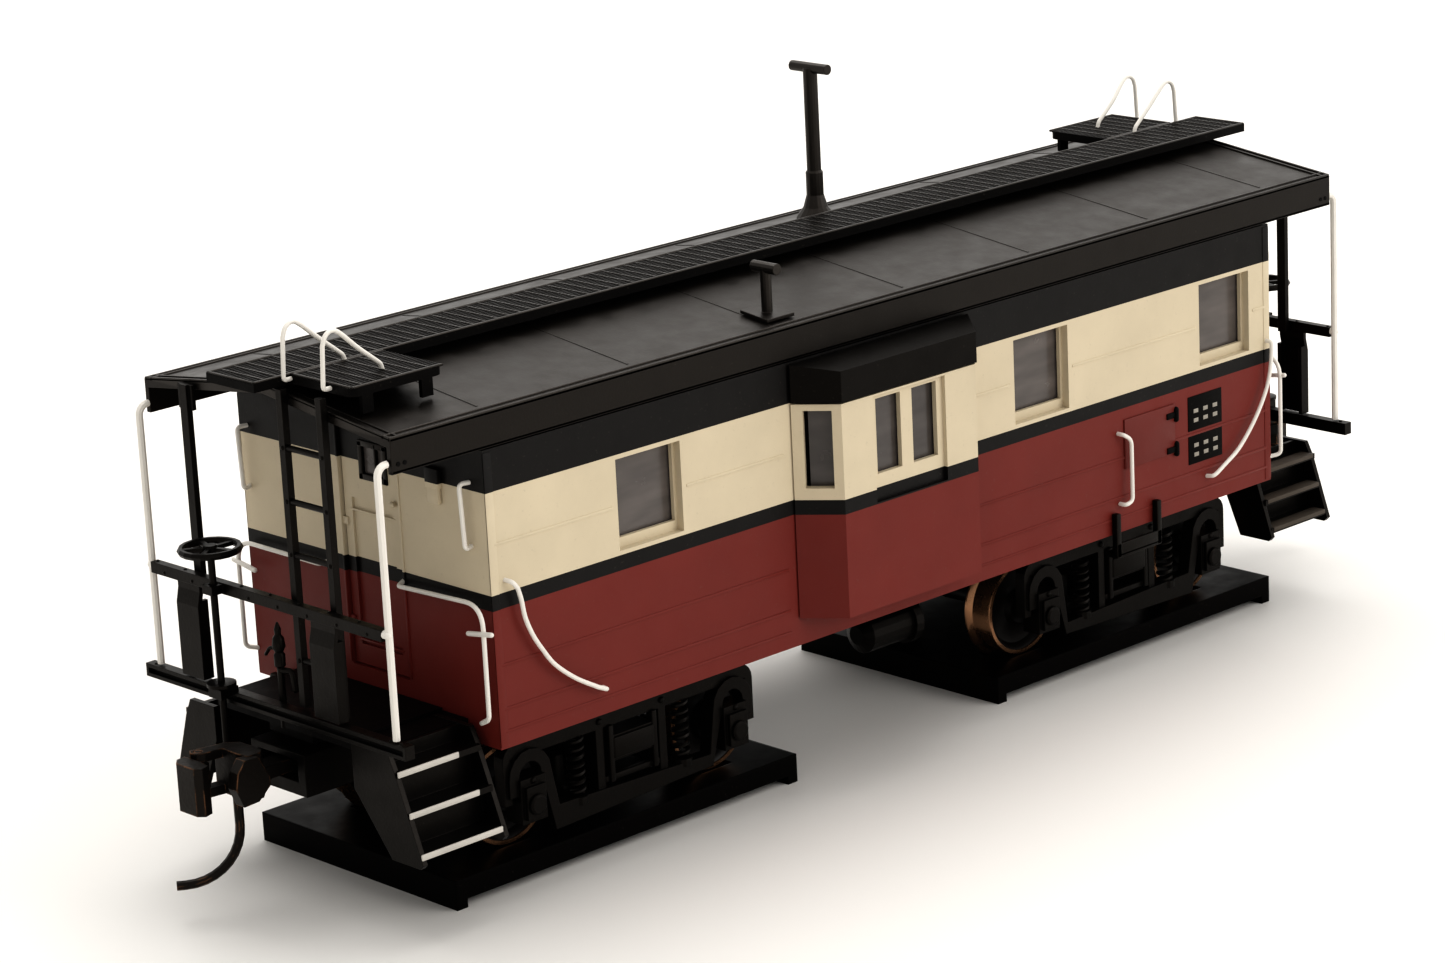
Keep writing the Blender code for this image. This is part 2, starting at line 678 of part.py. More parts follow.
def end_door(name, material, home):
    """Door let into the end wall, with a small blind window and a sunk lower panel."""
    x = (-HALF_LENGTH + 0.25, -INNER_HALF_LENGTH - 0.15)
    low = DOOR_Y - DOOR_HALF_WIDTH + FIT
    high = DOOR_Y + DOOR_HALF_WIDTH - FIT
    leaf = block(x, (low, high), (DECK_TOP + FIT, DOOR_TOP - FIT))
    window = block((x[0] - 1, x[0] + 0.4), DOOR_WINDOW_Y, DOOR_WINDOW_Z)
    panel = block((x[0] - 1, x[0] + 0.25), (low + 1.0, high - 1.0), DOOR_PANEL_Z)
    return part(name, material, [leaf], [window, panel], home=home)


def brake_wheel(name, material, home):
    """Five-spoked hand wheel on its staff, which turns in the railing's clamp and the sill's bracket."""
    height = 31.0
    radius = 2.55
    solids = [ring(radius, 0.33, height)]
    hub = [(height - 0.4, 0.75), (height + 0.35, 0.6)]
    solids.append(turned([(13.2, STAFF_RADIUS), (height - 0.5, STAFF_RADIUS)] + hub, sides=10))
    for i in range(5):
        spoke = block((0.3, radius), (-0.22, 0.22), (height - 0.2, height + 0.16))
        spoke.data.transform(Matrix.Rotation(2 * math.pi * i / 5, 4, "Z"))
        solids.append(spoke)
    for solid in solids:
        solid.data.transform(Matrix.Translation(Vector((*STAFF, 0)) * MM))
    return part(name, material, solids, home=home, at=(*STAFF, 0))


# ---- couplers, in the front end's frame ------------------------------------------------------------------

PIVOT = (-57.5, 0, COUPLER_Z)
PIVOT_RADIUS = 0.65
KNUCKLE_PIN = (-69.2, 2.45, COUPLER_Z)
PIN_RADIUS = 0.35
HEAD_BOTTOM = 10.9
HEAD_TOP = 15.0
LUG = 0.8  # height of each lug on the head
TRIP_X = -67.2


def draft_box(name, material, home):
    """Coupler box under the platform, open in front, with the pivot post inside."""
    box = block((-62.6, -53), (-3.7, 3.7), (COUPLER_Z - 2.2, COUPLER_Z + 1.6))
    pocket = block((-64, -54), (-2.7, 2.7), (COUPLER_Z - 1.0, COUPLER_Z + 1.0))
    post = rod("z", COUPLER_Z - 1.6, COUPLER_Z + 1.2, PIVOT_RADIUS, (PIVOT[0], 0, 0))
    return part(name, material, [box], [pocket], [post], home=home)


def coupler(name, material, home):
    """Shank with its pivot eye, and the head with its guard arm and two lugs for the knuckle's pin."""
    shank_z = (COUPLER_Z - 0.6, COUPLER_Z + 0.6)
    shank = block((-66.4, -58.5), (-1.0, 1.0), shank_z)
    eye = rod("z", *shank_z, 1.75, (PIVOT[0], 0, 0), 20)
    back = [(-65.3, -1.4), (-65.9, -2.0), (-67.2, -2.0), (-67.4, -0.6)]
    back += [(-67.3, 2.7), (-66.4, 2.6), (-65.3, 1.6)]
    head = prism(back, "z", HEAD_BOTTOM, HEAD_TOP)
    profile = [(-65.6, 12.9), (-66.6, HEAD_TOP - 0.1), (-68.1, HEAD_TOP), (-68.9, 14.0), (-69.2, 12.6)]
    profile += [(-68.5, HEAD_BOTTOM), (-66.9, HEAD_BOTTOM + 0.1), (-65.6, 12.1)]
    guard = prism(profile, "y", -2.7, -1.5)
    x, y = KNUCKLE_PIN[:2]
    lug = [(-67.0, 1.4), (x + 0.2, y - 0.8), (x - 0.5, y - 0.5)]
    lug += [(x - 0.7, y + 0.2), (x - 0.3, y + 0.75), (-67.0, 2.6)]
    upper = prism(lug, "z", HEAD_TOP - LUG, HEAD_TOP)
    lower = prism(lug, "z", HEAD_BOTTOM, HEAD_BOTTOM + LUG)
    through = (COUPLER_Z - 3, COUPLER_Z + 3)
    eye_hole = rod("z", *through, PIVOT_RADIUS + RUN, (PIVOT[0], 0, 0), 16)
    pin_hole = rod("z", *through, PIN_RADIUS + RUN, (x, y, 0))
    solids = [shank, eye, head, guard, upper, lower]
    return part(name, material, solids, [eye_hole, pin_hole], home=home, at=PIVOT)


def knuckle(name, material, home):
    """Hooked knuckle on its own upright pin, between the head's two lugs."""
    x, y = KNUCKLE_PIN[:2]
    tail = [(x + 0.5, y - 0.8), (x + 0.7, y + 0.2), (x + 0.1, y + 0.8)]
    tail += [(x - 1.4, y + 0.6), (x - 1.4, y - 1.2)]
    nose = [(-70.2, 3.0), (-71.1, 2.9), (-71.7, 2.2), (-71.7, -0.2)]
    nose += [(-71.2, -0.8), (-70.3, -0.5), (-70.1, 0.9)]
    body = prism(tail, "z", HEAD_BOTTOM + LUG + FIT, HEAD_TOP - LUG - FIT)
    hook = prism(nose, "z", 10.4, 14.7)
    pin = rod("z", HEAD_BOTTOM, HEAD_TOP, PIN_RADIUS, (x, y, 0))
    return part(name, material, [body, hook, pin], home=home, at=KNUCKLE_PIN)


def trip_pin(name, material, home):
    """Steel wire that hangs from the coupler head and sweeps forwards and sideways above the rail."""
    radius = 5.0
    top = HEAD_BOTTOM - FIT
    start_z = 3.3 + radius
    sweep = arc((radius, start_z), radius, 180, 270, 9)
    flat = [(radius + 0.8, 3.3)]
    away = Vector((-0.81, 0.586))
    points = [(TRIP_X, 0, top), (TRIP_X, 0, start_z + 0.6)]
    points += [(TRIP_X + away.x * s, away.y * s, z) for s, z in sweep + flat]
    return part(name, material, [wire(points, 0.42)], home=home, at=(TRIP_X, 0, top))


# ---- trucks, in their own frames: origin on the floor under the kingpin --------------------------------

SPRING_X = 6.3


def truck_bolster(name, material, home):
    """Cross beam whose ends show between the sideframes' columns, with the centre plate on top."""
    beam = block((-2.6, 2.6), (-13.2, 13.2), (8.2, 10.6))
    haunch = prism([(-9, 10.3), (-5, 11.6), (5, 11.6), (9, 10.3)], "x", -2.2, 2.2)
    plate = turned([(11.2, 3.2), (12.7, 3.2), (13.0, 2.9)], sides=20)
    bore = rod("z", 7, 14, KINGPIN_RADIUS + RUN, sides=20)
    return part(name, material, [beam, haunch, plate], [bore], home=home)


def sideframe(side, name, material, home):
    """Top beam with rounded ends, a strap over each journal box and along the bottom, and columns."""
    end = 15.0
    top = 12.9
    depth = 1.4
    outer = [(-end, 7.4), (-end, top - 1.5)] + arc((-end + 1.5, top - 1.5), 1.5, 180, 90, 5)
    outer += arc((end - 1.5, top - 1.5), 1.5, 90, 0, 5) + [(end, 7.4)]
    inner = [(end - 0.9, 7.4), (end - 0.9, top - depth), (-end + 0.9, top - depth), (-end + 0.9, 7.4)]
    faces = sorted((side * 11.8, side * 13.0))
    beam = prism(outer + inner, "y", *faces)
    over = 1.85  # radius of the strap over a journal box
    crown = 9.7
    left = [(-HALF_WHEELBASE - over, crown - 1.6)] + arc((-HALF_WHEELBASE, crown), over, 180, 0, 8)
    left += [(-9.3, 5.0)]
    right = [(-x, z) for x, z in reversed(left)]
    strap = prism(ribbon(left + right, 1.15), "y", *sorted((side * 11.9, side * 13.3)))
    solids = [beam, strap]
    for x in (-3.75, 3.75):
        solids.append(block((x - 0.45, x + 0.45), faces, (5.0, top - 0.4)))
    for x in (-SPRING_X, SPRING_X):
        solids.append(rod("z", 5.3, 6.0, 1.0, (x, side * 12.5, 0), 12))
    cuts = []
    for x in (-HALF_WHEELBASE, HALF_WHEELBASE):
        solids.append(block((x - 1.45, x + 1.45), sorted((side * 11.5, side * 13.6)), (5.5, 9.6)))
        solids.append(block((x - 1.1, x + 1.1), sorted((side * 13.3, side * 14.0)), (5.9, 8.9)))
        solids.append(block((x - 2.2, x + 2.2), faces, (8.6, 9.4)))
        bore = rod("y", *sorted((side * 11, side * 12.75)), 0.7 + RUN, (x, 0, AXLE_Z), 16)
        cuts.append(bore)
    return part(name, material, solids, cuts, home=home)


def wheelset(x, name, material, home):
    """Axle with two flanged wheels, to the standard gauge of 16.5, with journals in the sideframes."""
    half = [
        (0, 0.9),
        (7.0, 1.0),
        (7.2, 4.3),
        (7.25, TREAD_RADIUS + 0.4),
        (7.55, TREAD_RADIUS + FLANGE),
        (7.85, TREAD_RADIUS + 0.45),
        (8.0, TREAD_RADIUS),
        (10.0, TREAD_RADIUS - 0.06),
        (10.0, 4.0),
        (9.4, 3.7),
        (9.4, 1.9),
        (10.1, 1.7),
        (10.1, 0.9),
        (11.2, 0.7),
        (12.6, 0.7),
    ]
    profile = [(-y, r) for y, r in reversed(half[1:])] + half[1:]
    solid = turned(profile, "y", (x, 0, AXLE_Z), 22)
    return part(name, material, [solid], home=home, at=(x, 0, AXLE_Z))


def kingpin(name, material, home):
    """Shouldered screw from below, through the truck bolster into the underframe."""
    head = [(6.4, 1.5), (6.7, 1.8), (7.9, 1.8)]
    profile = head + [(7.9, KINGPIN_RADIUS), (KINGPIN_TOP, KINGPIN_RADIUS)]
    slot = block((-2, 2), (-0.2, 0.2), (6.0, 6.9))
    return part(name, material, [turned(profile, sides=20)], [slot], home=home)


CRADLE_HALF_LENGTH = 20.6
CRADLE_SHIFT = -0.9  # the cradle reaches further out than in from the kingpin


def cradle(name, material, home):
    """Low plate with a lip under each end and a pocket under each wheel."""
    half_width = 13.5
    low = CRADLE_SHIFT - CRADLE_HALF_LENGTH
    high = CRADLE_SHIFT + CRADLE_HALF_LENGTH
    lip = 1.2
    under = 0.8
    outline = [(low, 0), (low + lip, 0), (low + lip, under)]
    outline += [(high - lip, under), (high - lip, 0), (high, 0), (high, CRADLE_TOP), (low, CRADLE_TOP)]
    plate = prism(outline, "y", -half_width, half_width)
    cuts = []
    for x in (-HALF_WHEELBASE, HALF_WHEELBASE):
        for side in (-1, 1):
            flange_y = sorted((side * 7.0, side * 8.2))
            tread_y = sorted((side * 7.6, side * 10.5))
            cuts.append(rod("y", *flange_y, TREAD_RADIUS + FLANGE + 0.3, (x, 0, AXLE_Z), 32))
            cuts.append(rod("y", *tread_y, TREAD_RADIUS + 0.3, (x, 0, AXLE_Z), 32))
    return part(name, material, [plate], cuts, home=home)


# ---- brake gear under the floor --------------------------------------------------------------------------


def brake_cylinder(material):
    """Brake cylinder with its pressure head, hung from the floor."""
    centre = (0, -8.0, 9.4)
    profile = [(0.2, 0.9), (0.8, 1.9), (6.2, 1.9), (6.2, 2.3), (7.2, 2.3), (7.5, 2.0)]
    barrel = turned(profile, "x", centre, 18)
    hanger = block((2.2, 4.6), (-8.5, -7.5), (10.6, 15.4))
    return part("brake_cylinder", material, [barrel, hanger])


def air_reservoir(material):
    """Long air tank with domed ends, hung from the floor on the far side."""
    centre = (0, 8.4, 11.2)
    profile = [(-9.2, 1.0), (-8.8, 1.8), (-8.0, 2.2), (8.0, 2.2), (8.8, 1.8), (9.2, 1.0)]
    tank = turned(profile, "x", centre, 18)
    hangers = [block((x - 0.4, x + 0.4), (7.4, 9.4), (12.5, 15.4)) for x in (-5, 5)]
    return part("air_reservoir", material, [tank, *hangers])


# ---- assembly --------------------------------------------------------------------------------------------


def build():
    for thing in list(bpy.data.objects):
        bpy.data.objects.remove(thing, do_unlink=True)

    black = paint("roof_black", (0.022, 0.02, 0.018), 0.45)
    cream = paint("body_cream", (0.70, 0.60, 0.42), 0.4)
    red = paint("body_red", (0.19, 0.055, 0.047), 0.4)
    frame_black = paint("frame_black", (0.014, 0.013, 0.012), 0.5)
    white = paint("handrail_white", (0.75, 0.72, 0.66), 0.35)
    clear = paint("window_clear", (0.16, 0.14, 0.13), 0.1)
    wheel = paint("wheel_metal", (0.13, 0.09, 0.06), 0.35, 1.0)
    steel = paint("coupler_metal", (0.05, 0.045, 0.042), 0.45, 1.0)
    brass = paint("weight_brass", (0.55, 0.38, 0.14), 0.35, 1.0)
    plastic = paint("cradle_plastic", (0.018, 0.017, 0.016), 0.4)

    body_shell(cream)
    roof(black)
    underframe(frame_black)
    ballast_weight(brass)
    for side, word in ((-1, "right"), (1, "left")):
        bay(side, f"bay_{word}", red)
        bay_roof(side, f"bay_roof_{word}", black)
        glazing(side, f"glazing_{word}", clear)
        bay_glazing(side, f"bay_glazing_{word}", clear)
    running_board(black)
    smoke_stack(black)
    roof_vent(black)
    brake_cylinder(frame_black)
    air_reservoir(frame_black)

    for end, turn in (("front", 0.0), ("rear", math.pi)):
        home = empty(f"end_{end}", (0, 0, 0), turn)
        end_sill(f"end_sill_{end}", frame_black, home)
        railing(f"railing_{end}", frame_black, home)
        ladder(f"ladder_{end}", frame_black, home)
        roof_post(f"roof_post_{end}", frame_black, home)
        end_door(f"end_door_{end}", cream, home)
        for side, word in ((-1, "right"), (1, "left")):
            steps(side, f"steps_{end}_{word}", frame_black, home)
            corner_post(side, f"corner_post_{end}_{word}", white, home)
        brake_wheel(f"brake_wheel_{end}", frame_black, home)
        draft_box(f"draft_box_{end}", frame_black, home)
        coupler(f"coupler_{end}", steel, home)
        knuckle(f"knuckle_{end}", steel, home)
        trip_pin(f"trip_pin_{end}", steel, home)

        truck = empty(f"truck_{end}", (-TRUCK_X, 0, 0), home=home)
        truck_bolster(f"truck_bolster_{end}", frame_black, truck)
        for side, word in ((-1, "right"), (1, "left")):
            sideframe(side, f"sideframe_{end}_{word}", frame_black, truck)
        wheelset(-HALF_WHEELBASE, f"wheelset_{end}_outer", wheel, truck)
        wheelset(HALF_WHEELBASE, f"wheelset_{end}_inner", wheel, truck)
        kingpin(f"kingpin_{end}", steel, truck)
        cradle(f"cradle_{end}", plastic, truck)


build()
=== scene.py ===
"""Looks of the HO scale bay-window caboose: materials, fine detail, floor, light and camera.

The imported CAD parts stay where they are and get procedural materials. Detail too fine for the CAD rides
on their bodies. Lengths are in millimetres in the car's frame: X along the car, -Y its right side, floor
at 0. The front end, at -X, has its ladder on the right. The rear end is the front end turned half round
about Z, so end pieces are made once and turned. The left side is the right side mirrored, so side pieces
are made once and mirrored.
"""

import math

import bmesh
import bpy
from mathutils import Matrix, Vector


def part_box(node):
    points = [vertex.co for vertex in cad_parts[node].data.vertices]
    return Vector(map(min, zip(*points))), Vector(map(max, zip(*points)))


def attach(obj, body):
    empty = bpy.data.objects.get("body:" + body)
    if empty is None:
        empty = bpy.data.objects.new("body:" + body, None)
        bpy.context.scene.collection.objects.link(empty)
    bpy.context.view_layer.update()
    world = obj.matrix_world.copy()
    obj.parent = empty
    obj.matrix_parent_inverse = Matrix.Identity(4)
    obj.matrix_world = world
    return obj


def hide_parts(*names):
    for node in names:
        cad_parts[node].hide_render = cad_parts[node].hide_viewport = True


MM = 0.001

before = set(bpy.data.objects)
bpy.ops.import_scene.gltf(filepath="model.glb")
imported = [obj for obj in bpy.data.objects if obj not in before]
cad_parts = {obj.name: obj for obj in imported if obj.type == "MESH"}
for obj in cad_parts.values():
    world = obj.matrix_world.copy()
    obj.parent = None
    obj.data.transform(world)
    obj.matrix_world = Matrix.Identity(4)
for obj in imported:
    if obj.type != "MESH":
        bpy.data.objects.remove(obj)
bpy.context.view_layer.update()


def node_box(name):
    """Lowest and highest corner of a CAD node, in millimetres."""
    low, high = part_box(name)
    return Vector(low) / MM, Vector(high) / MM


# ---- sizes, from the CAD where it has them -------------------------------------------------------

BODY_HIGH = node_box("body_shell")[1]
ROOF_LOW, ROOF_HIGH = node_box("roof")
LADDER_LOW, LADDER_HIGH = node_box("ladder_front")

SIDE_Y = BODY_HIGH.y
END_X = BODY_HIGH.x
EAVE_Y = ROOF_HIGH.y
RIDGE_Z = ROOF_HIGH.z
FASCIA_BOTTOM = ROOF_LOW.z
FASCIA_HEIGHT = 3.0
EAVE_Z = FASCIA_BOTTOM + FASCIA_HEIGHT
BOARD_TOP = node_box("running_board")[1].z

# The front end's sill, end rail, ladder and brake staff
SILL_X = -62.45
SILL_TOP = 18.1
RAIL_FACE_X = -62.9
RAIL_Z = 27.2
LADDER_STILES_Y = (-3.3, -8.6)
RUNG_PITCH = 4.7
TOP_RUNG_DROP = 5.1
BRAKE_STAFF = (-63.4, 6.2)

# Treads of the steps at the front: heights of their tops, and the outer edge of the highest, from which
# each lower one stands further out by the spread
RIGHT_TREAD_TOPS = (15.1, 11.7, 8.3)
RIGHT_TREAD_Y = -15.6
RIGHT_TREAD_SPREAD = 1.2
LEFT_TREAD_TOPS = (14.4, 11.5, 8.7)
LEFT_TREAD_Y = 14.2
LEFT_TREAD_SPREAD = 0.75

# Lengths of side that have seams: from the ends to the bay, and the same less the windows
SEAM_INSET = 0.6
BAY_REAR_X = 8.3
BAY_FRONT_X = -16.6
PLAIN_RUNS = ((-END_X + SEAM_INSET, BAY_FRONT_X), (BAY_REAR_X, END_X - SEAM_INSET))
WINDOW_RUNS = (
    (-END_X + SEAM_INSET, -37.3),
    (-28.6, BAY_FRONT_X),
    (BAY_REAR_X, 13.3),
    (22.0, 40.2),
    (48.9, END_X - SEAM_INSET),
)

# Trucks
TRUCK_X = 33.4
AXLE_Z = 7.3
HALF_WHEELBASE = 12.2
SPRING_OFFSET = 6.3
SPRING_Y = 12.5
COLUMN_BOLT_OFFSET = 3.75
BRAKE_BEAM_OFFSET = 5.6

# Wires
RAIL_RADIUS = 0.21
END_RAIL_STANDOFF = 0.9
SIDE_RAIL_STANDOFF = 0.8

# Paint bands, as heights, and a height above them all
STRIPE_BOTTOM = 26.6
STRIPE_TOP = 27.95
BLACK_BOTTOM = 37.0
BANDS_TOP = 50

# Each end's name, and whether its pieces are turned
ENDS = (("front", False), ("rear", True))


def roof_height(y):
    """Top of the roof at this distance from the centre line."""
    return RIDGE_Z - (RIDGE_Z - EAVE_Z) * abs(y) / EAVE_Y


# ---- materials -----------------------------------------------------------------------------------

# Sizes of the marks in the paint
MOTTLE_SIZE = 6.0
GLOSS_SIZE = 2.5
DUST_SIZE = 0.35
# Size and edge radius of the bronze edge patches, which are partly rubbed paint and partly painted highlight
WEAR_AND_HIGHLIGHT_SIZE = 1.6
WEAR_AND_HIGHLIGHT_RADIUS = 0.22
RELIEF_DEPTH = 0.05
BEVEL_SAMPLES = 4

# Numbers of the mix node's colour sockets, which share their names with its other sockets
MIX_FIRST = 6
MIX_SECOND = 7
MIX_RESULT = 2


def linear(red, green, blue):
    """A display colour from 0 to 255 as linear values."""
    out = []
    for value in (red, green, blue):
        value /= 255
        out.append(value / 12.92 if value < 0.04045 else ((value + 0.055) / 1.055) ** 2.4)
    return out


class Nodes:
    """A material's node tree, with short ways to add the nodes used here."""

    def __init__(self, name):
        self.material = bpy.data.materials.new(name)
        self.material.use_nodes = True
        self.tree = self.material.node_tree
        self.shader = self.tree.nodes["Principled BSDF"]
        self.place = self.add("ShaderNodeTexCoord").outputs["Object"]

    def add(self, kind, **settings):
        """A new node of this kind with these settings."""
        node = self.tree.nodes.new(kind)
        for key, value in settings.items():
            setattr(node, key, value)
        return node

    def link(self, source, target):
        """Joins an output socket to an input socket."""
        self.tree.links.new(source, target)

    def noise(self, size, detail=3.0, roughness=0.55, stretch=None):
        """Noise whose blobs are about this many millimetres across."""
        node = self.add("ShaderNodeTexNoise")
        node.inputs["Scale"].default_value = 1 / (size * MM)
        node.inputs["Detail"].default_value = detail
        node.inputs["Roughness"].default_value = roughness
        place = self.place
        if stretch:
            mapping = self.add("ShaderNodeMapping")
            mapping.inputs["Scale"].default_value = stretch
            self.link(place, mapping.inputs["Vector"])
            place = mapping.outputs["Vector"]
        self.link(place, node.inputs["Vector"])
        return node.outputs["Fac"]

    def spread(self, value, low, high, start=0.3, stop=0.7):
        """Maps a value between start and stop to the range low to high."""
        node = self.add("ShaderNodeMapRange")
        limits = {"From Min": start, "From Max": stop, "To Min": low, "To Max": high}
        for key, number in limits.items():
            node.inputs[key].default_value = number
        self.link(value, node.inputs["Value"])
        return node.outputs["Result"]

    def math(self, operation, first, second):
        """A sum or other operation on two values, each a number or a socket."""
        node = self.add("ShaderNodeMath", operation=operation)
        for socket, value in zip(node.inputs, (first, second)):
            if isinstance(value, (int, float)):
                socket.default_value = value
            else:
                self.link(value, socket)
        return node.outputs["Value"]

    def mix(self, factor, first, second, blend="MIX"):
        """Two colours mixed. Each of the three may be a value or a socket."""
        node = self.add("ShaderNodeMix", data_type="RGBA", blend_type=blend)
        sockets = (node.inputs["Factor"], node.inputs[MIX_FIRST], node.inputs[MIX_SECOND])
        for socket, value in zip(sockets, (factor, first, second)):
            if isinstance(value, (int, float)):
                socket.default_value = value
            elif isinstance(value, (list, tuple)):
                socket.default_value = (*value, 1)
            else:
                self.link(value, socket)
        return node.outputs[MIX_RESULT]

    def bands(self, stops, top):
        """Plain bands of colour up the object: (height in mm, colour) pairs from the lowest."""
        split = self.add("ShaderNodeSeparateXYZ")
        self.link(self.place, split.inputs["Vector"])
        height = self.spread(split.outputs["Z"], 0, 1, 0, top * MM)
        ramp = self.add("ShaderNodeValToRGB")
        ramp.color_ramp.interpolation = "CONSTANT"
        elements = ramp.color_ramp.elements
        elements[0].position = 0
        elements[0].color = (*stops[0][1], 1)
        elements[1].position = stops[1][0] / top
        elements[1].color = (*stops[1][1], 1)
        for level, colour in stops[2:]:
            element = elements.new(level / top)
            element.color = (*colour, 1)
        self.link(height, ramp.inputs["Fac"])
        return ramp.outputs["Color"]

    def worn_and_highlit_edges(self):
        """One in patches along the edges, where paint is rubbed off to bare metal; the same patches are in
        part a painted edge highlight.
        """
        rounding = self.add("ShaderNodeBevel", samples=BEVEL_SAMPLES)
        rounding.inputs["Radius"].default_value = WEAR_AND_HIGHLIGHT_RADIUS * MM
        flat = self.add("ShaderNodeNewGeometry").outputs["Normal"]
        turned = self.add("ShaderNodeVectorMath", operation="DOT_PRODUCT")
        self.link(rounding.outputs["Normal"], turned.inputs[0])
        self.link(flat, turned.inputs[1])
        edges = self.spread(turned.outputs["Value"], 1, 0, 0.86, 0.97)
        patches = self.spread(self.noise(WEAR_AND_HIGHLIGHT_SIZE), 0, 1, 0.5, 0.6)
        return self.math("MULTIPLY", edges, patches)

    def finish(
        self,
        colour,
        rough,
        mottle=0.08,
        bump=0.15,
        grain=0.35,
        metallic=0.0,
        dust=0.0,
        shine=0.3,
        tint=(1, 1, 1),
        edge=0.0,
        wear=None,
    ):
        """Colour with mottling, uneven gloss, a fine grain and dust specks, as the material.

        edge is the radius that edges are softened to, in millimetres, and the last argument is the colour
        put on
        patches along the edges: bare metal where paint is rubbed off, and in part a painted edge highlight.
        """
        patches = self.spread(self.noise(MOTTLE_SIZE, 4.0), 1 - mottle, 1 + mottle)
        shade = self.add("ShaderNodeCombineXYZ")
        for socket in shade.inputs:
            self.link(patches, socket)
        colour = self.mix(1.0, colour, shade.outputs["Vector"], "MULTIPLY")
        if dust:
            specks = self.spread(self.noise(DUST_SIZE, 2.0), 0, dust, 0.66, 0.8)
            colour = self.mix(specks, colour, DUST)
        self.shader.inputs["Metallic"].default_value = metallic
        if wear:
            bare = self.worn_and_highlit_edges()
            colour = self.mix(bare, colour, wear)
            self.link(bare, self.shader.inputs["Metallic"])
        self.link(colour, self.shader.inputs["Base Color"])
        gloss = self.spread(self.noise(GLOSS_SIZE), rough - 0.06, rough + 0.08)
        self.link(gloss, self.shader.inputs["Roughness"])
        relief = self.add("ShaderNodeBump")
        relief.inputs["Strength"].default_value = bump
        relief.inputs["Distance"].default_value = RELIEF_DEPTH * MM
        self.link(self.noise(grain, 2.0), relief.inputs["Height"])
        if edge:
            rounding = self.add("ShaderNodeBevel", samples=BEVEL_SAMPLES)
            rounding.inputs["Radius"].default_value = edge * MM
            self.link(rounding.outputs["Normal"], relief.inputs["Normal"])
        self.link(relief.outputs["Normal"], self.shader.inputs["Normal"])
        self.shader.inputs["Specular IOR Level"].default_value = shine
        self.shader.inputs["Specular Tint"].default_value = (*tint, 1)
        return self.material


CREAM = linear(199, 187, 164)
RED = linear(112, 47, 41)
BLACK = linear(20, 18, 17)
WHITE = linear(224, 220, 213)
DUST = linear(110, 102, 92)
BRONZE = linear(140, 104, 78)

# Tint of what the blacks reflect
WARM = (1.0, 0.9, 0.82)


def livery():
    """Body paint: red below, a black line, cream at the windows, and black under the eaves."""
    nodes = Nodes("livery_paint")
    bands = ((0, RED), (STRIPE_BOTTOM, BLACK), (STRIPE_TOP, CREAM), (BLACK_BOTTOM, BLACK))
    colour = nodes.bands(bands, BANDS_TOP)
    return nodes.finish(colour, 0.42, mottle=0.04, bump=0.12, grain=0.3, dust=0.15, shine=0.22)


def roof_paint():
    """Black that shines on the roof sheets and less on the fascias below them."""
    nodes = Nodes("roof_black")
    blend = 0.1
    split = nodes.add("ShaderNodeSeparateXYZ")
    nodes.link(nodes.place, split.inputs["Vector"])
    look = nodes.finish(linear(13, 11, 9), 0.38, dust=0.12, grain=0.25, tint=WARM, edge=0.12)
    shine = nodes.spread(split.outputs["Z"], 0.3, 0.5, (EAVE_Z - blend) * MM, (EAVE_Z + blend) * MM)
    nodes.link(shine, nodes.shader.inputs["Specular IOR Level"])
    return look


def plain(name, colour, rough, **look):
    """A material of one colour. The look is what Nodes.finish takes."""
    nodes = Nodes(name)
    return nodes.finish(colour, rough, **look)


def clear_plastic(name, dark, pale):
    """Window plastic over the dark inside: glossy and faintly streaked, its grey partly the plastic's own
    frosted tone and partly painted reflection of the bright surroundings.
    """
    nodes = Nodes(name)
    streaks = nodes.spread(nodes.noise(3.0, 2.0, stretch=(0.4, 0.4, 1.6)), 0, 1)
    return nodes.finish(nodes.mix(streaks, dark, pale), 0.2, mottle=0.05, bump=0.02, shine=0.5)


livery_paint = livery()
roof_black = roof_paint()
# A darker, duller copy of the roof's black for the bay roofs: painted shade
bay_roof_painted_shade_black = plain(
    "bay_roof_painted_shade_black", linear(9, 8, 7), 0.45, dust=0.12, grain=0.25, shine=0.16, tint=WARM, edge=0.12
)
frame_black = plain(
    "frame_black", linear(9, 8, 7), 0.35, dust=0.1, grain=0.3, bump=0.25, shine=0.2, tint=WARM, edge=0.1
)
# A darker, duller copy of frame_black for the trucks, draft boxes and the parts under the car: painted shade
painted_shade_black = plain(
    "painted_shade_black",
    linear(8, 7, 6),
    0.42,
    dust=0.05,
    grain=0.3,
    bump=0.25,
    shine=0.16,
    tint=WARM,
    edge=0.15,
)
deck_black = plain("deck_black", linear(12, 10, 9), 0.5, dust=0.15, shine=0.1)
rail_white = plain("rail_white", WHITE, 0.35, mottle=0.03)
# Greyer than the rails' white: partly dull paint and partly painted shade in the steps
step_white_dull_and_painted_shade = plain("step_white_dull_and_painted_shade", linear(188, 184, 177), 0.4, mottle=0.08)
# The grey of the windows is partly the plastic's tone and partly painted reflection
window_plastic = clear_plastic("window_plastic", linear(82, 77, 75), linear(102, 96, 93))
bay_window_plastic = clear_plastic("bay_window_plastic", linear(68, 64, 62), linear(84, 79, 77))
cradle_black = plain(
    "cradle_black",
    linear(6, 5, 5),
    0.36,
    dust=0.1,
    bump=0.06,
    mottle=0.05,
    shine=0.05,
    tint=WARM,
    edge=0.3,
)
tread_metal = plain("tread_metal", linear(150, 116, 90), 0.25, metallic=0.9, mottle=0.15)
wheel_black = plain("wheel_black", linear(16, 12, 10), 0.4, mottle=0.15, shine=0.2)
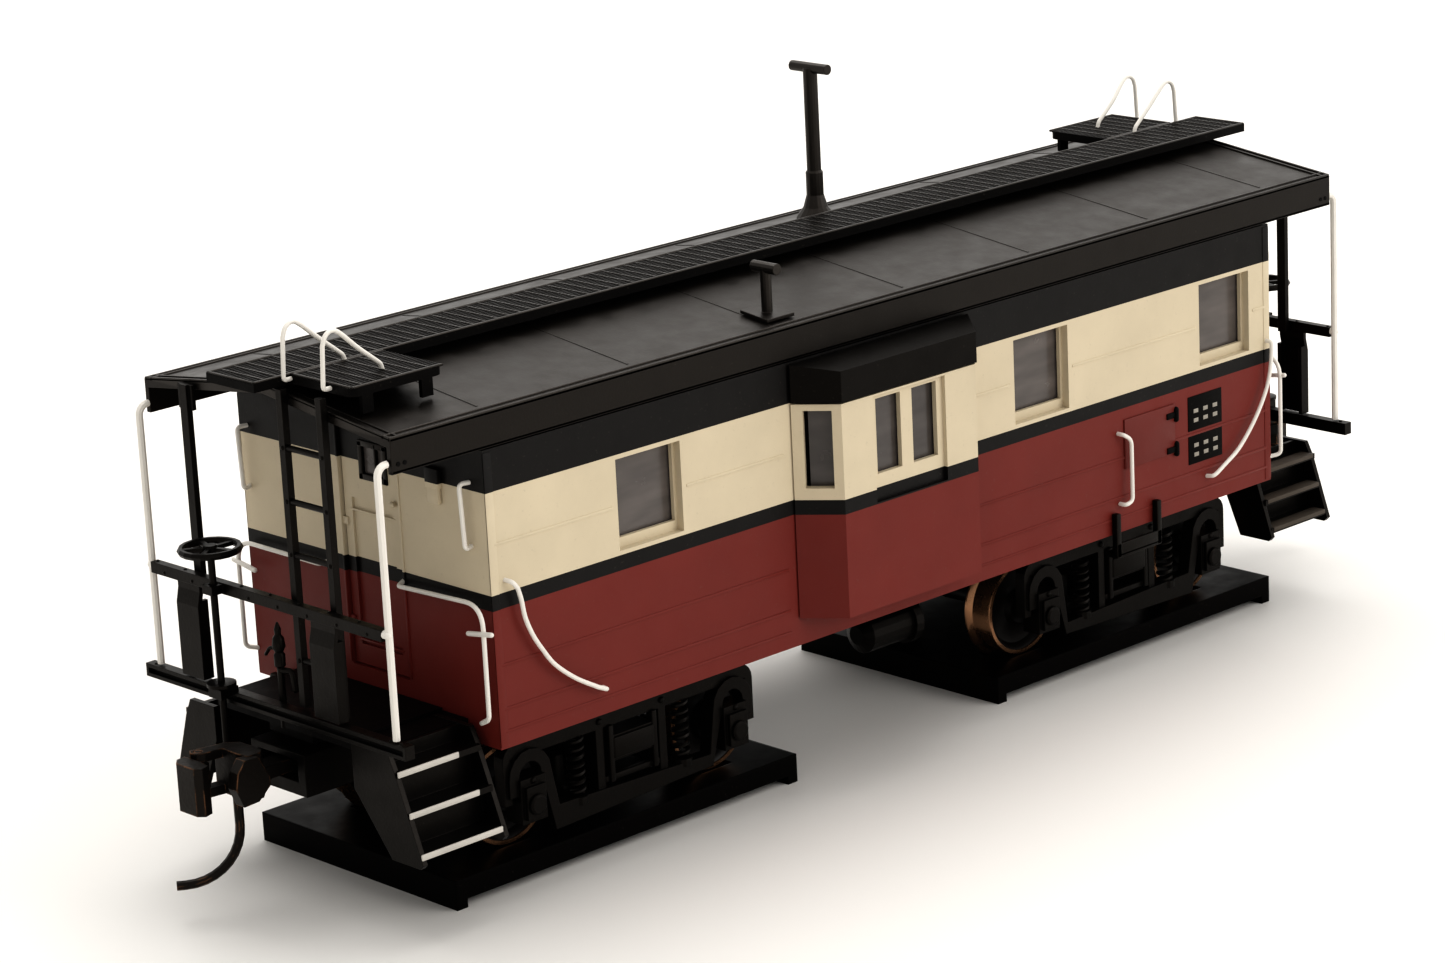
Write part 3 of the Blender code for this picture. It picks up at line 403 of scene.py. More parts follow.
# Bronze on patches of the edges: partly rubbed paint, partly painted edge highlight
coupler_metal = plain(
    "coupler_metal",
    linear(20, 17, 15),
    0.4,
    bump=0.5,
    grain=0.4,
    mottle=0.15,
    shine=0.22,
    tint=WARM,
    edge=0.15,
    wear=BRONZE,
)
spring_metal = plain("spring_metal", linear(12, 11, 10), 0.4, shine=0.2, tint=WARM)
weight_metal = plain("weight_metal", linear(178, 140, 78), 0.35, metallic=1.0, mottle=0.15)
hatch_red = plain("hatch_red", linear(104, 42, 36), 0.45, mottle=0.05)
mark_grey = plain("mark_grey", linear(150, 145, 136), 0.45, mottle=0.05)
tread_grey = plain("tread_grey", linear(84, 77, 70), 0.5, mottle=0.1, shine=0.15)


def paint(node, material):
    """Gives a CAD node one material."""
    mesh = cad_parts[node].data
    mesh.materials.clear()
    mesh.materials.append(material)


# ---- mesh helpers --------------------------------------------------------------------------------


def piece(name, bm, material, body, turn=False, smooth=35, mirror=False):
    """Finishes a bmesh as a piece that rides on a body.

    It was made at the front, on the right: turn puts it at the rear, and mirror on the left. Edges
    sharper than smooth, in degrees, stay sharp.
    """
    if turn:
        bm.transform(Matrix.Rotation(math.pi, 4, "Z"))
    if mirror:
        bm.transform(Matrix.Diagonal((1, -1, 1, 1)))
    bmesh.ops.recalc_face_normals(bm, faces=bm.faces)
    bm.transform(Matrix.Scale(MM, 4))
    mesh = bpy.data.meshes.new(name)
    bm.to_mesh(mesh)
    bm.free()
    mesh.materials.append(material)
    mesh.shade_smooth()
    mesh.set_sharp_from_angle(angle=math.radians(smooth))
    thing = bpy.data.objects.new(name, mesh)
    bpy.context.collection.objects.link(thing)
    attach(thing, body)
    return thing


def add_box(bm, x, y, z, bevel=0.0):
    """A box from three (low, high) pairs, its edges rounded if bevel is set."""
    made = bmesh.ops.create_cube(bm, size=1.0)
    for vert in made["verts"]:
        vert.co = Vector(
            [low + (high - low) * (part + 0.5) for (low, high), part in zip((x, y, z), vert.co)]
        )
    if bevel:
        edges = list({edge for vert in made["verts"] for edge in vert.link_edges})
        bmesh.ops.bevel(bm, geom=edges, offset=bevel, segments=2, profile=0.5, affect="EDGES")


def rounded(points, radius, steps=5):
    """The points with each inner corner replaced by a curve of about this radius."""
    points = [Vector(point) for point in points]
    out = [points[0]]
    for before, corner, after in zip(points, points[1:], points[2:]):
        into = (before - corner).normalized()
        away = (after - corner).normalized()
        reach = min(radius, (before - corner).length * 0.49, (after - corner).length * 0.49)
        start = corner + into * reach
        stop = corner + away * reach
        for i in range(steps + 1):
            t = i / steps
            out.append(start * (1 - t) ** 2 + corner * 2 * t * (1 - t) + stop * t**2)
    out.append(points[-1])
    return out


def smoothed(points, steps=6):
    """A Catmull-Rom curve through the points."""
    points = [Vector(point) for point in points]
    ends = [points[0] * 2 - points[1], *points, points[-1] * 2 - points[-2]]
    out = []
    for a, b, c, d in zip(ends, ends[1:], ends[2:], ends[3:]):
        for i in range(steps):
            t = i / steps
            straight = 2 * b + (c - a) * t
            bend = (2 * a - 5 * b + 4 * c - d) * t**2
            twist = (3 * b - a - 3 * c + d) * t**3
            out.append(0.5 * (straight + bend + twist))
    out.append(points[-1])
    return out


def add_wire(bm, path, radius, sides=10, round_ends=True):
    """A round wire along the path, with domed ends."""
    side = None
    rows = []
    stations = []
    count = len(path)
    for i, place in enumerate(path):
        ahead = (path[min(i + 1, count - 1)] - path[max(i - 1, 0)]).normalized()
        if side is None:
            side = ahead.orthogonal().normalized()
        side = (side - ahead * side.dot(ahead)).normalized()
        stations.append((place, ahead, side.copy(), 1.0))
    if round_ends:
        # Steps of a dome, as parts of the wire's radius: how far past the end, and how wide
        dome = ((0.95, 0.3), (0.7, 0.72), (0.35, 0.94))
        place, ahead, across, _ = stations[0]
        first = [(place - ahead * radius * back, ahead, across, wide) for back, wide in dome]
        place, ahead, across, _ = stations[-1]
        last = [(place + ahead * radius * back, ahead, across, wide) for back, wide in reversed(dome)]
        stations = first + stations + last
    for place, ahead, across, wide in stations:
        other = ahead.cross(across)
        row = []
        for j in range(sides):
            angle = 2 * math.pi * j / sides
            offset = (across * math.cos(angle) + other * math.sin(angle)) * radius * wide
            row.append(bm.verts.new(place + offset))
        rows.append(row)
    for lower, upper in zip(rows, rows[1:]):
        for j in range(sides):
            k = (j + 1) % sides
            bm.faces.new((lower[j], lower[k], upper[k], upper[j]))
    bm.faces.new(rows[0])
    bm.faces.new(rows[-1])


def add_turned(bm, profile, axis, centre, sides=32, caps=True):
    """A profile of (along, radius) points turned about an axis through centre, with caps at its ends."""
    turn = {
        "x": Matrix.Rotation(math.pi / 2, 4, "Y"),
        "y": Matrix.Rotation(-math.pi / 2, 4, "X"),
        "z": Matrix(),
    }
    place = Matrix.Translation(Vector(centre)) @ turn[axis]
    rows = []
    for along, radius in profile:
        row = []
        for i in range(sides):
            angle = 2 * math.pi * i / sides
            point = Vector((radius * math.cos(angle), radius * math.sin(angle), along))
            row.append(bm.verts.new(place @ point))
        rows.append(row)
    for lower, upper in zip(rows, rows[1:]):
        for i in range(sides):
            j = (i + 1) % sides
            bm.faces.new((lower[i], lower[j], upper[j], upper[i]))
    if caps:
        bm.faces.new(rows[0])
        bm.faces.new(rows[-1])


# Height of a rivet's head, as a part of its radius
RIVET_HEIGHT = 0.6


def add_rivet(bm, place, normal, radius):
    """A low domed rivet head, standing along the normal."""
    made = bmesh.ops.create_uvsphere(bm, u_segments=8, v_segments=6, radius=1.0)
    turn = Vector(normal).to_track_quat("Z", "Y").to_matrix().to_4x4()
    size = Matrix.Diagonal((radius, radius, radius * RIVET_HEIGHT, 1))
    where = Matrix.Translation(Vector(place))
    bmesh.ops.transform(bm, matrix=where @ turn @ size, verts=made["verts"])


# ---- CAD nodes -----------------------------------------------------------------------------------


def paint_cad():
    """Gives every CAD node its material."""
    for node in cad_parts:
        paint(node, frame_black)
    for node in ("body_shell", "bay_right", "bay_left", "end_door_front", "end_door_rear"):
        paint(node, livery_paint)
    for node in ("roof", "smoke_stack", "roof_vent"):
        paint(node, roof_black)
    for side in ("right", "left"):
        paint(f"glazing_{side}", window_plastic)
        paint(f"bay_glazing_{side}", bay_window_plastic)
        paint(f"bay_roof_{side}", bay_roof_painted_shade_black)
    paint("running_board", deck_black)
    paint("underframe", deck_black)
    for node in ("brake_cylinder", "air_reservoir"):
        paint(node, painted_shade_black)
    paint("ballast_weight", weight_metal)
    for end, _ in ENDS:
        for side in ("right", "left"):
            paint(f"corner_post_{end}_{side}", rail_white)
            paint(f"sideframe_{end}_{side}", painted_shade_black)
        for part in ("coupler", "knuckle", "trip_pin", "kingpin"):
            paint(f"{part}_{end}", coupler_metal)
        for part in ("truck_bolster", "draft_box"):
            paint(f"{part}_{end}", painted_shade_black)
        for place in ("outer", "inner"):
            paint(f"wheelset_{end}_{place}", wheel_black)
        paint(f"cradle_{end}", cradle_black)


# ---- end platforms, made at the front and turned to the rear -------------------------------------


def end_handrails(end, turn):
    """White rails and grab irons on the end wall, and the grabs at the top of the ladder."""
    wall = -END_X
    off = wall - END_RAIL_STANDOFF
    bm = bmesh.new()
    right = [(wall, -5.1, 27.3), (off, -5.4, 27.1), (off, -16.45, 27.5), (off, -16.45, 17.3)]
    right += [(off, -15.2, 16.7), (wall, -15.1, 16.8)]
    path = rounded(right[:3], 0.3)[:-1] + rounded(right[1:4], 2.2, 8)[1:-1] + rounded(right[2:], 0.5)[1:]
    add_wire(bm, path, RAIL_RADIUS)
    left = [(wall, 5.1, 27.2), (off, 5.4, 27.05), (off, 17.3, 27.1)]
    left += [(off, 17.3, 17.0), (wall, 16.6, 16.8)]
    path = rounded(left[:3], 0.3)[:-1] + rounded(left[1:4], 2.2, 8)[1:-1] + rounded(left[2:], 0.5)[1:]
    add_wire(bm, path, RAIL_RADIUS)
    for side in (-1, 1):
        bar = [Vector((off - 0.2, side * 14.7, 24.75)), Vector((off - 0.2, side * 17.7, 25.2))]
        add_wire(bm, bar, RAIL_RADIUS * 1.1)
    for y in (-14.6, 15.8):
        grab = [(wall, y - 0.2, 37.8), (off, y + 0.1, 37.8), (off, y - 0.2, 32.1), (wall, y, 32.2)]
        add_wire(bm, rounded(grab, 0.7), RAIL_RADIUS)
    piece(f"end_handrails_{end}", bm, rail_white, "carbody", turn)

    bm = bmesh.new()
    low = BOARD_TOP - 0.35
    for y, lean in zip(LADDER_STILES_Y, (0.0, 0.3)):
        knee = (-61.05, y, BOARD_TOP + 3.3)
        foot = y + lean
        arch = [knee, (-60.7, y, BOARD_TOP + 4.1), (-60.0, y, BOARD_TOP + 4.45)]
        arch += [(-59.2, y, BOARD_TOP + 4.1), (-57.2, foot, BOARD_TOP + 2.4)]
        arch += [(-55.4, foot, BOARD_TOP + 0.95), (-54.9, foot, BOARD_TOP + 0.5)]
        arch.append((-54.7, foot, BOARD_TOP))
        hook = rounded([(-60.2, y, low), (-61.3, y, low), knee], 0.35)
        add_wire(bm, hook[:-1] + smoothed(arch), RAIL_RADIUS)
    piece(f"ladder_grabs_{end}", bm, rail_white, "carbody", turn)


def step_fittings(end, turn):
    """White edges on the treads at the right, bare grey treads at the left, and the landing at the right."""
    bm = bmesh.new()
    for i, (top, stop) in enumerate(zip(RIGHT_TREAD_TOPS, (-55.3, -54.3, -53.0))):
        front = RIGHT_TREAD_Y - RIGHT_TREAD_SPREAD * i
        add_box(bm, (-61.98, stop), (front - 0.12, front + 0.1), (top - 0.5, top + 0.06), 0.1)
    piece(f"step_edges_{end}", bm, step_white_dull_and_painted_shade, "carbody", turn)
    bm = bmesh.new()
    for i, top in enumerate(LEFT_TREAD_TOPS):
        front = LEFT_TREAD_Y + LEFT_TREAD_SPREAD * i
        add_box(bm, (-61.4, -53.1), (front - 1.5, front + 0.08), (top - 0.4, top + 0.05), 0.08)
    piece(f"step_treads_{end}", bm, tread_grey, "carbody", turn)
    bm = bmesh.new()
    add_box(bm, (-61.85, -51.6), (-12.6, -9.35), (15.7, 16.45))
    piece(f"step_landing_{end}", bm, deck_black, "carbody", turn)


def end_wall_fittings(end, turn):
    """Lamp bracket, door window, door latch and hinges, and the strips on the door and beside it."""
    wall = -END_X
    bm = bmesh.new()
    add_box(bm, (wall - 0.55, wall), (-11.2, -9.5), (36.6, 38.4), 0.1)
    add_box(bm, (wall - 0.5, wall), (-11.1, -9.6), (35.2, 36.8), 0.2)
    piece(f"lamp_bracket_{end}", bm, livery_paint, "carbody", turn)

    bm = bmesh.new()
    left, right, low, high = -3.6, 0.2, 35.5, 38.9
    sheet = wall + 0.45
    add_box(bm, (sheet, sheet + 0.15), (left + 0.02, right - 0.02), (low + 0.02, high - 0.02))
    piece(f"door_glass_{end}", bm, window_plastic, "carbody", turn)

    bm = bmesh.new()
    face = (wall + 0.12, wall + 0.5)
    for y in (left, right - 0.5):
        add_box(bm, face, (y, y + 0.5), (low, high), 0.05)
    for z in (low, high - 0.4):
        add_box(bm, face, (left, right), (z, z + 0.55), 0.05)
    add_box(bm, face, (-2.2, -2.0), (low, high), 0.03)
    piece(f"door_window_frame_{end}", bm, roof_black, "carbody", turn)

    bm = bmesh.new()
    for z in (32.5, 20.6):
        add_box(bm, (wall + 0.2, wall + 0.33), (-4.2, 2.0), (z - 0.1, z + 0.1), 0.03)
    for y in (-5.25, 2.95):
        add_box(bm, (wall - 0.12, wall + 0.1), (y - 0.13, y + 0.13), (18.4, 40.6), 0.04)
    add_turned(bm, [(-0.35, 0.16), (-0.2, 0.3), (0.3, 0.2)], "x", (wall, -4.4, 34.0), 10)
    add_box(bm, (wall + 0.05, wall + 0.3), (2.2, 2.9), (31.0, 31.7), 0.06)
    add_box(bm, (wall + 0.05, wall + 0.3), (2.2, 2.9), (22.0, 22.7), 0.06)
    piece(f"door_trim_{end}", bm, livery_paint, "carbody", turn)


def platform_fittings(end, turn):
    """Air valve, brake ratchet, post clips, and rivets on the end rail, sill and ladder."""
    bm = bmesh.new()
    x, y = -61.5, 0.1
    valve = [(15.6, 0.34), (21.0, 0.3), (21.2, 0.5), (22.2, 0.5), (22.4, 0.36), (22.9, 0.6), (23.7, 0.5)]
    valve += [(24.0, 0.28), (24.5, 0.32), (25.1, 0.08)]
    add_turned(bm, valve, "z", (x, y, 0), 12)
    lever = [(x, y, 22.6), (x - 0.2, y + 1.0, 22.7), (x - 0.3, y + 1.5, 22.0)]
    add_wire(bm, rounded(lever, 0.3), 0.16)
    branch = [(x, y, 20.8), (x + 0.3, y - 1.3, 20.8), (x + 0.3, y - 1.5, 19.2)]
    add_wire(bm, rounded(branch, 0.4), 0.28)
    ratchet = [(18.5, 1.0), (18.6, 1.3), (18.9, 1.3), (19.0, 0.9)]
    add_turned(bm, ratchet, "z", (*BRAKE_STAFF, 0), 20)
    for y in range(-14, 15, 4):
        add_rivet(bm, (RAIL_FACE_X, y, RAIL_Z), (-1, 0, 0), 0.17)
        add_rivet(bm, (RAIL_FACE_X + 0.5, y + 1.5, RAIL_Z + 0.7), (0, 0, 1), 0.17)
    for y in (-17.0, -15.7, 17.0):
        add_rivet(bm, (SILL_X, y, SILL_TOP), (0, 0, 1), 0.2)
    for i in range(5):
        for y in LADDER_STILES_Y:
            height = LADDER_HIGH.z - TOP_RUNG_DROP - RUNG_PITCH * i
            add_rivet(bm, (LADDER_LOW.x, y, height), (-1, 0, 0), 0.22)
    piece(f"platform_fittings_{end}", bm, frame_black, "carbody", turn)

    bm = bmesh.new()
    for side in (-1, 1):
        add_wire(bm, [Vector((-62.5, side * 15.75, 27.5)), Vector((-62.5, side * 16.3, 27.5))], 0.4)
    piece(f"post_clips_{end}", bm, rail_white, "carbody", turn)


# ---- sides ---------------------------------------------------------------------------------------


def side_rails(word, mirror):
    """The two curved handrails and the hatch's grab iron on one side."""
    wall = -SIDE_Y
    y = wall - SIDE_RAIL_STANDOFF
    bm = bmesh.new()
    near = [(-49.2, y, 28.4), (-48.9, y, 27.3), (-48.6, y, 25.7), (-47.9, y, 24.0), (-46.9, y, 22.4)]
    near += [(-45.6, y, 20.7), (-43.4, y, 18.9), (-40.9, y, 17.4)]
    path = rounded([(-49.9, wall, 29.2), (-49.7, y, 29.1), (-49.2, y, 28.4)], 0.4)[:-1] + smoothed(near)
    path += rounded([(-40.9, y, 17.4), (-39.8, y, 16.9), (-39.7, wall, 16.9)], 0.3)[1:]
    add_wire(bm, path, RAIL_RADIUS)
    far = [(50.9, y, 28.2), (50.7, y, 26.5), (50.2, y, 24.8), (49.2, y, 23.0), (47.6, y, 21.0)]
    far += [(45.5, y, 19.1), (43.4, y, 18.0), (42.2, y, 17.4)]
    path = rounded([(50.9, wall, 29.0), (50.9, y, 29.0), (50.9, y, 28.2)], 0.3)[:-1] + smoothed(far)
    path += rounded([(42.2, y, 17.4), (41.6, y, 17.2), (41.5, wall, 17.1)], 0.3)[1:]
    add_wire(bm, path, RAIL_RADIUS)
    grab = [(28.3, wall, 24.4), (28.3, y, 24.4), (29.4, y, 23.7)]
    grab += [(29.4, y, 17.5), (28.4, y, 17.3), (28.4, wall, 17.3)]
    add_wire(bm, rounded(grab, 0.6), RAIL_RADIUS)
    piece(f"side_rails_{word}", bm, rail_white, "carbody", mirror=mirror)


def side_fittings(word, mirror):
    """Seam strips, hatch, stirrup step and a data panel with plain blocks, on one side."""
    wall = -SIDE_Y
    bm = bmesh.new()
    seams = (
        (32.5, 0.28, WINDOW_RUNS),
        (21.8, 0.28, PLAIN_RUNS),
        (17.9, 0.3, PLAIN_RUNS),
        (15.9, 0.25, PLAIN_RUNS),
    )
    for z, thick, runs in seams:
        for run in runs:
            add_box(bm, run, (wall - 0.07, wall + 0.1), (z - thick / 2, z + thick / 2), 0.05)
    for x in (-END_X + 0.45, END_X - 0.45):
        add_box(bm, (x - 0.45, x + 0.45), (wall - 0.06, wall + 0.1), (14.6, 40.6), 0.04)
    piece(f"side_strips_{word}", bm, livery_paint, "carbody", mirror=mirror)

    bm = bmesh.new()
    left, right, low, high = 29.2, 36.7, 20.6, 25.6
    add_box(bm, (left, right), (wall - 0.16, wall + 0.1), (low, high), 0.07)
    piece(f"hatch_{word}", bm, hatch_red, "carbody", mirror=mirror)

    bm = bmesh.new()
    knuckle = right + 0.1
    for z in (21.0, 24.5):
        pin = [Vector((knuckle, wall - 0.2, z - 0.5)), Vector((knuckle, wall - 0.2, z + 0.5))]
        add_wire(bm, pin, 0.28)
        add_box(bm, (right - 1.3, knuckle), (wall - 0.28, wall), (z - 0.3, z + 0.3), 0.05)
    piece(f"hatch_hinges_{word}", bm, deck_black, "carbody", mirror=mirror)

    bm = bmesh.new()
    for x in (27.4, 33.4):
        add_box(bm, (x - 0.32, x + 0.32), (wall - 0.75, wall - 0.1), (12.2, 16.6), 0.08)
    add_box(bm, (27.1, 33.7), (wall - 0.75, wall + 0.9), (12.1, 12.6), 0.1)
    add_box(bm, (27.1, 33.7), (wall - 0.75, wall - 0.45), (12.3, 13.6), 0.08)
    piece(f"stirrup_{word}", bm, frame_black, "carbody", mirror=mirror)

    bm = bmesh.new()
    for low, high in ((18.8, 21.9), (22.2, 25.7)):
        add_box(bm, (38.8, 43.9), (wall - 0.06, wall + 0.05), (low, high), 0.02)
    piece(f"data_panel_{word}", bm, deck_black, "carbody", mirror=mirror)
    bm = bmesh.new()
    for base in (19.5, 23.0):
        for row in range(2):
            for column in range(3):
                x = 39.6 + 1.45 * column
                z = base + 0.95 * row
                add_box(bm, (x, x + 0.7), (wall - 0.09, wall - 0.02), (z, z + 0.42), 0.02)
    piece(f"data_marks_{word}", bm, mark_grey, "carbody", mirror=mirror)


# ---- roof ----------------------------------------------------------------------------------------


def add_roof_strip(bm, x, side, y, size, lift=0.0):
    """A bar of this size that lies down the slope of one side of the roof, centred this far out."""
    made = bmesh.ops.create_cube(bm, size=1.0)
    slope = math.atan2(RIDGE_Z - EAVE_Z, EAVE_Y)
    tilt = Matrix.Rotation(-side * slope, 4, "X")
    place = Matrix.Translation((x, side * y, roof_height(y) + lift))
    scale = Matrix.Diagonal((*size, 1))
    bmesh.ops.transform(bm, matrix=place @ tilt @ scale, verts=made["verts"])


def roof_detail():
    """Sheet seams, rails along the eaves and ends, the fascia's lower lip and the holes at its ends."""
    end = ROOF_HIGH.x
    bm = bmesh.new()
    middle_seam_x = 0.9
    seam_pitch = 17.1
    seam_start = 1.0
    seam_length = EAVE_Y - 1.6 - seam_start
    lip = 0.3
    for side in (-1, 1):
        for i in range(-3, 4):
            x = middle_seam_x + seam_pitch * i
            add_roof_strip(bm, x, side, seam_start + seam_length / 2, (0.2, seam_length, 0.08))
        for y, high in ((EAVE_Y - 0.14, 0.16), (EAVE_Y - 0.95, 0.14)):
            top = roof_height(y) + high
            across = sorted((side * (y - 0.14), side * (y + 0.14)))
            add_box(bm, (-end, end), across, (top - 0.4, top), 0.07)
        across = sorted((side * (EAVE_Y - lip), side * EAVE_Y))
        add_box(bm, (-end, end), across, (FASCIA_BOTTOM, FASCIA_BOTTOM + lip), 0.08)
    for x in (-end + 0.12, end - 0.12, -end + 0.95, end - 0.95):
        for side in (-1, 1):
            add_roof_strip(bm, x, side, EAVE_Y / 2, (0.24, EAVE_Y - 0.2, 0.24), 0.02)
    piece("roof_seams", bm, roof_black, "carbody")
    # Flat dark discs stand for the holes in the fascia: their dark is painted shade
    bm = bmesh.new()
    for side in (-1, 1):
        for x in (-end + 0.7, -end + 1.4, end - 1.4, end - 0.7):
            centre = (x, side * EAVE_Y, FASCIA_BOTTOM + 0.8)
            add_turned(bm, [(-0.04, 0.2), (0.04, 0.2)], "y", centre, 12)
    piece("fascia_holes", bm, deck_black, "carbody")


def grating(mesh, bars, x, y, open_end=None):
    """A grating on a board: its rim and cross bars go to bars, and the fine rods along it to mesh.

    open_end is the x of an end that has no rim.
    """
    base = BOARD_TOP - 0.1
    rim = 0.3
    rim_top = BOARD_TOP + 0.12
    for low, high in ((y[0], y[0] + rim), (y[1] - rim, y[1])):
        add_box(bars, x, (low, high), (base, rim_top), 0.09)
    for low, high in ((x[0], x[0] + rim), (x[1] - rim, x[1])):
        if open_end not in (low, high):
            add_box(bars, (low, high), y, (base, rim_top), 0.09)
    bar_pitch = 1.35
    count = round((x[1] - x[0]) / bar_pitch)
    for i in range(1, count):
        at = x[0] + (x[1] - x[0]) * i / count
        add_box(bars, (at - 0.09, at + 0.09), (y[0] + rim, y[1] - rim), (base, BOARD_TOP + 0.08))
    rod_pitch = 0.45
    count = round((y[1] - y[0]) / rod_pitch)
    for i in range(1, count):
        at = y[0] + (y[1] - y[0]) * i / count
        add_box(mesh, x, (at - 0.06, at + 0.06), (base, BOARD_TOP + 0.05))


def running_board_detail():
    """Gratings on the running board and on the lateral board at each end."""
    mesh = bmesh.new()
    bars = bmesh.new()
    grating(mesh, bars, (-64.4, 64.4), (-3.25, 3.25))
    grating(mesh, bars, (-60.5, -50.6), (-11.4, -3.3), open_end=-50.6)
    grating(mesh, bars, (50.6, 60.5), (3.3, 11.4), open_end=50.6)
    piece("grating_mesh", mesh, frame_black, "carbody")
    piece("grating_bars", bars, roof_black, "carbody")


# ---- trucks --------------------------------------------------------------------------------------


def springs(end, turn):
    """Coil springs between the beams of each sideframe, before and behind the bolster."""
    bm = bmesh.new()
    turns, low, high, radius = 7, 6.0, 11.4, 0.68
    points_per_turn = 14
    count = turns * points_per_turn
    for x in (-TRUCK_X - SPRING_OFFSET, -TRUCK_X + SPRING_OFFSET):
        for side in (-1, 1):
            path = []
            for i in range(count + 1):
                angle = 2 * math.pi * i / points_per_turn
                y = side * SPRING_Y + radius * math.sin(angle)
                z = low + (high - low) * i / count
                path.append(Vector((x + radius * math.cos(angle), y, z)))
            add_wire(bm, path, 0.2, 6)
    piece(f"springs_{end}", bm, spring_metal, f"truck_{end}", turn)


def truck_detail(end, turn):
    """Journal box lids and bolts, column bolts, the hangers between the columns, and the brake beams."""
    centre = -TRUCK_X
    bm = bmesh.new()
    for side in (-1, 1):
        lid = [(0, 0.95), (0.25, 0.95), (0.4, 0.75)]
        if side < 0:
            lid = [(-along, radius) for along, radius in reversed(lid)]
        for x in (centre - HALF_WHEELBASE, centre + HALF_WHEELBASE):
            add_turned(bm, lid, "y", (x, side * 13.95, AXLE_Z - 0.1), 16)
            add_rivet(bm, (x, side * 13.6, 9.3), (0, side, 0), 0.3)
        for x in (centre - COLUMN_BOLT_OFFSET, centre + COLUMN_BOLT_OFFSET):
            for z in (12.2, 5.1):
                add_rivet(bm, (x, side * 13.05, z), (0, side, 0), 0.32)
        add_box(bm, (centre - 2.4, centre + 2.4), sorted((side * 12.2, side * 13.4)), (8.4, 10.4), 0.15)
        add_box(bm, (centre - 3.3, centre + 3.3), sorted((side * 12.4, side * 13.0)), (6.3, 6.9), 0.12)
        for x in (centre - 2.6, centre + 2.6):
            add_box(bm, (x - 0.3, x + 0.3), sorted((side * 12.5, side * 13.3)), (6.3, 11.6), 0.1)
    # A dark spring plank across the truck under the bolster: it also closes the view through the truck with
    # painted shade
    add_box(bm, (centre - 3.0, centre + 3.0), (-12.1, 12.1), (5.7, 6.4), 0.1)
    for toward in (-1, 1):
        x = centre + toward * BRAKE_BEAM_OFFSET
        add_box(bm, (x - 0.5, x + 0.5), (-10.4, 10.4), (5.0, 6.2), 0.1)
        for side in (-1, 1):
            shoe = sorted((x, x + toward * 1.1))
            add_box(bm, shoe, sorted((side * 7.8, side * 10.2)), (5.0, 9.2), 0.2)
    piece(f"truck_detail_{end}", bm, painted_shade_black, f"truck_{end}", turn)


def wheels(end, turn, place, x):
    """A smoothly turned wheelset in place of the CAD's: dark wheels with bright treads on a dark axle."""
    body = f"wheelset_{end}_{place}"
    centre = (x, 0, AXLE_Z)
    dark = bmesh.new()
    half_axle = [(10.1, 0.9), (11.2, 0.68), (12.6, 0.68)]
    axle = [(-y, radius) for y, radius in reversed(half_axle)] + half_axle
    add_turned(dark, axle, "y", centre, 24)
    for side in (-1, 1):
        disc = [(7.2, 0.95), (7.2, 4.4), (9.85, 4.3), (9.7, 4.0), (9.3, 3.7)]
        disc += [(9.1, 2.6), (9.4, 1.9), (10.0, 1.6), (10.1, 0.95)]
        disc = [(side * y, radius) for y, radius in disc]
        add_turned(dark, disc if side > 0 else disc[::-1], "y", centre, 48)
    wheel = piece(f"wheels_{end}_{place}", dark, wheel_black, body, turn, 40)
    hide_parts(body)
    bright = bmesh.new()
    for side in (-1, 1):
        rim = [(7.22, 4.3), (7.22, 5.2), (7.35, 5.36), (7.55, 5.38), (7.75, 5.2), (7.95, 4.88)]
        rim += [(8.2, 4.8), (9.9, 4.74), (10.0, 4.66), (10.0, 4.3), (7.22, 4.3)]
        rim = [(side * y, radius) for y, radius in rim]
        add_turned(bright, rim, "y", centre, 64, caps=False)
    piece(f"treads_{end}_{place}", bright, tread_metal, body, turn, 40)


# ---- scene ---------------------------------------------------------------------------------------


def floor():
    """A pale floor that reaches past the view."""
    bm = bmesh.new()
    half_width_m = 4.0
    bmesh.ops.create_grid(bm, x_segments=1, y_segments=1, size=half_width_m)
    mesh = bpy.data.meshes.new("floor")
    bm.to_mesh(mesh)
    bm.free()
    thing = bpy.data.objects.new("floor", mesh)
    bpy.context.collection.objects.link(thing)
    material = bpy.data.materials.new("floor_white")
    material.use_nodes = True
    shader = material.node_tree.nodes["Principled BSDF"]
    shader.inputs["Base Color"].default_value = (0.745, 0.731, 0.71, 1)
    shader.inputs["Roughness"].default_value = 0.55
    shader.inputs["Specular IOR Level"].default_value = 0.2
    mesh.materials.append(material)


DAYLIGHT = (1.0, 0.985, 0.96)
CAR_CENTRE = Vector((0, 0, 25))


def area_light(name, place, size, power):
    """A square lamp of this size in metres and power in watts, aimed at the car."""
    data = bpy.data.lights.new(name, "AREA")
    data.size = size
    data.energy = power
    data.color = DAYLIGHT
    lamp = bpy.data.objects.new(name, data)
    lamp.location = Vector(place) * MM
    lamp.rotation_mode = "QUATERNION"
    lamp.rotation_quaternion = (CAR_CENTRE - Vector(place)).to_track_quat("-Z", "Y")
    bpy.context.collection.objects.link(lamp)


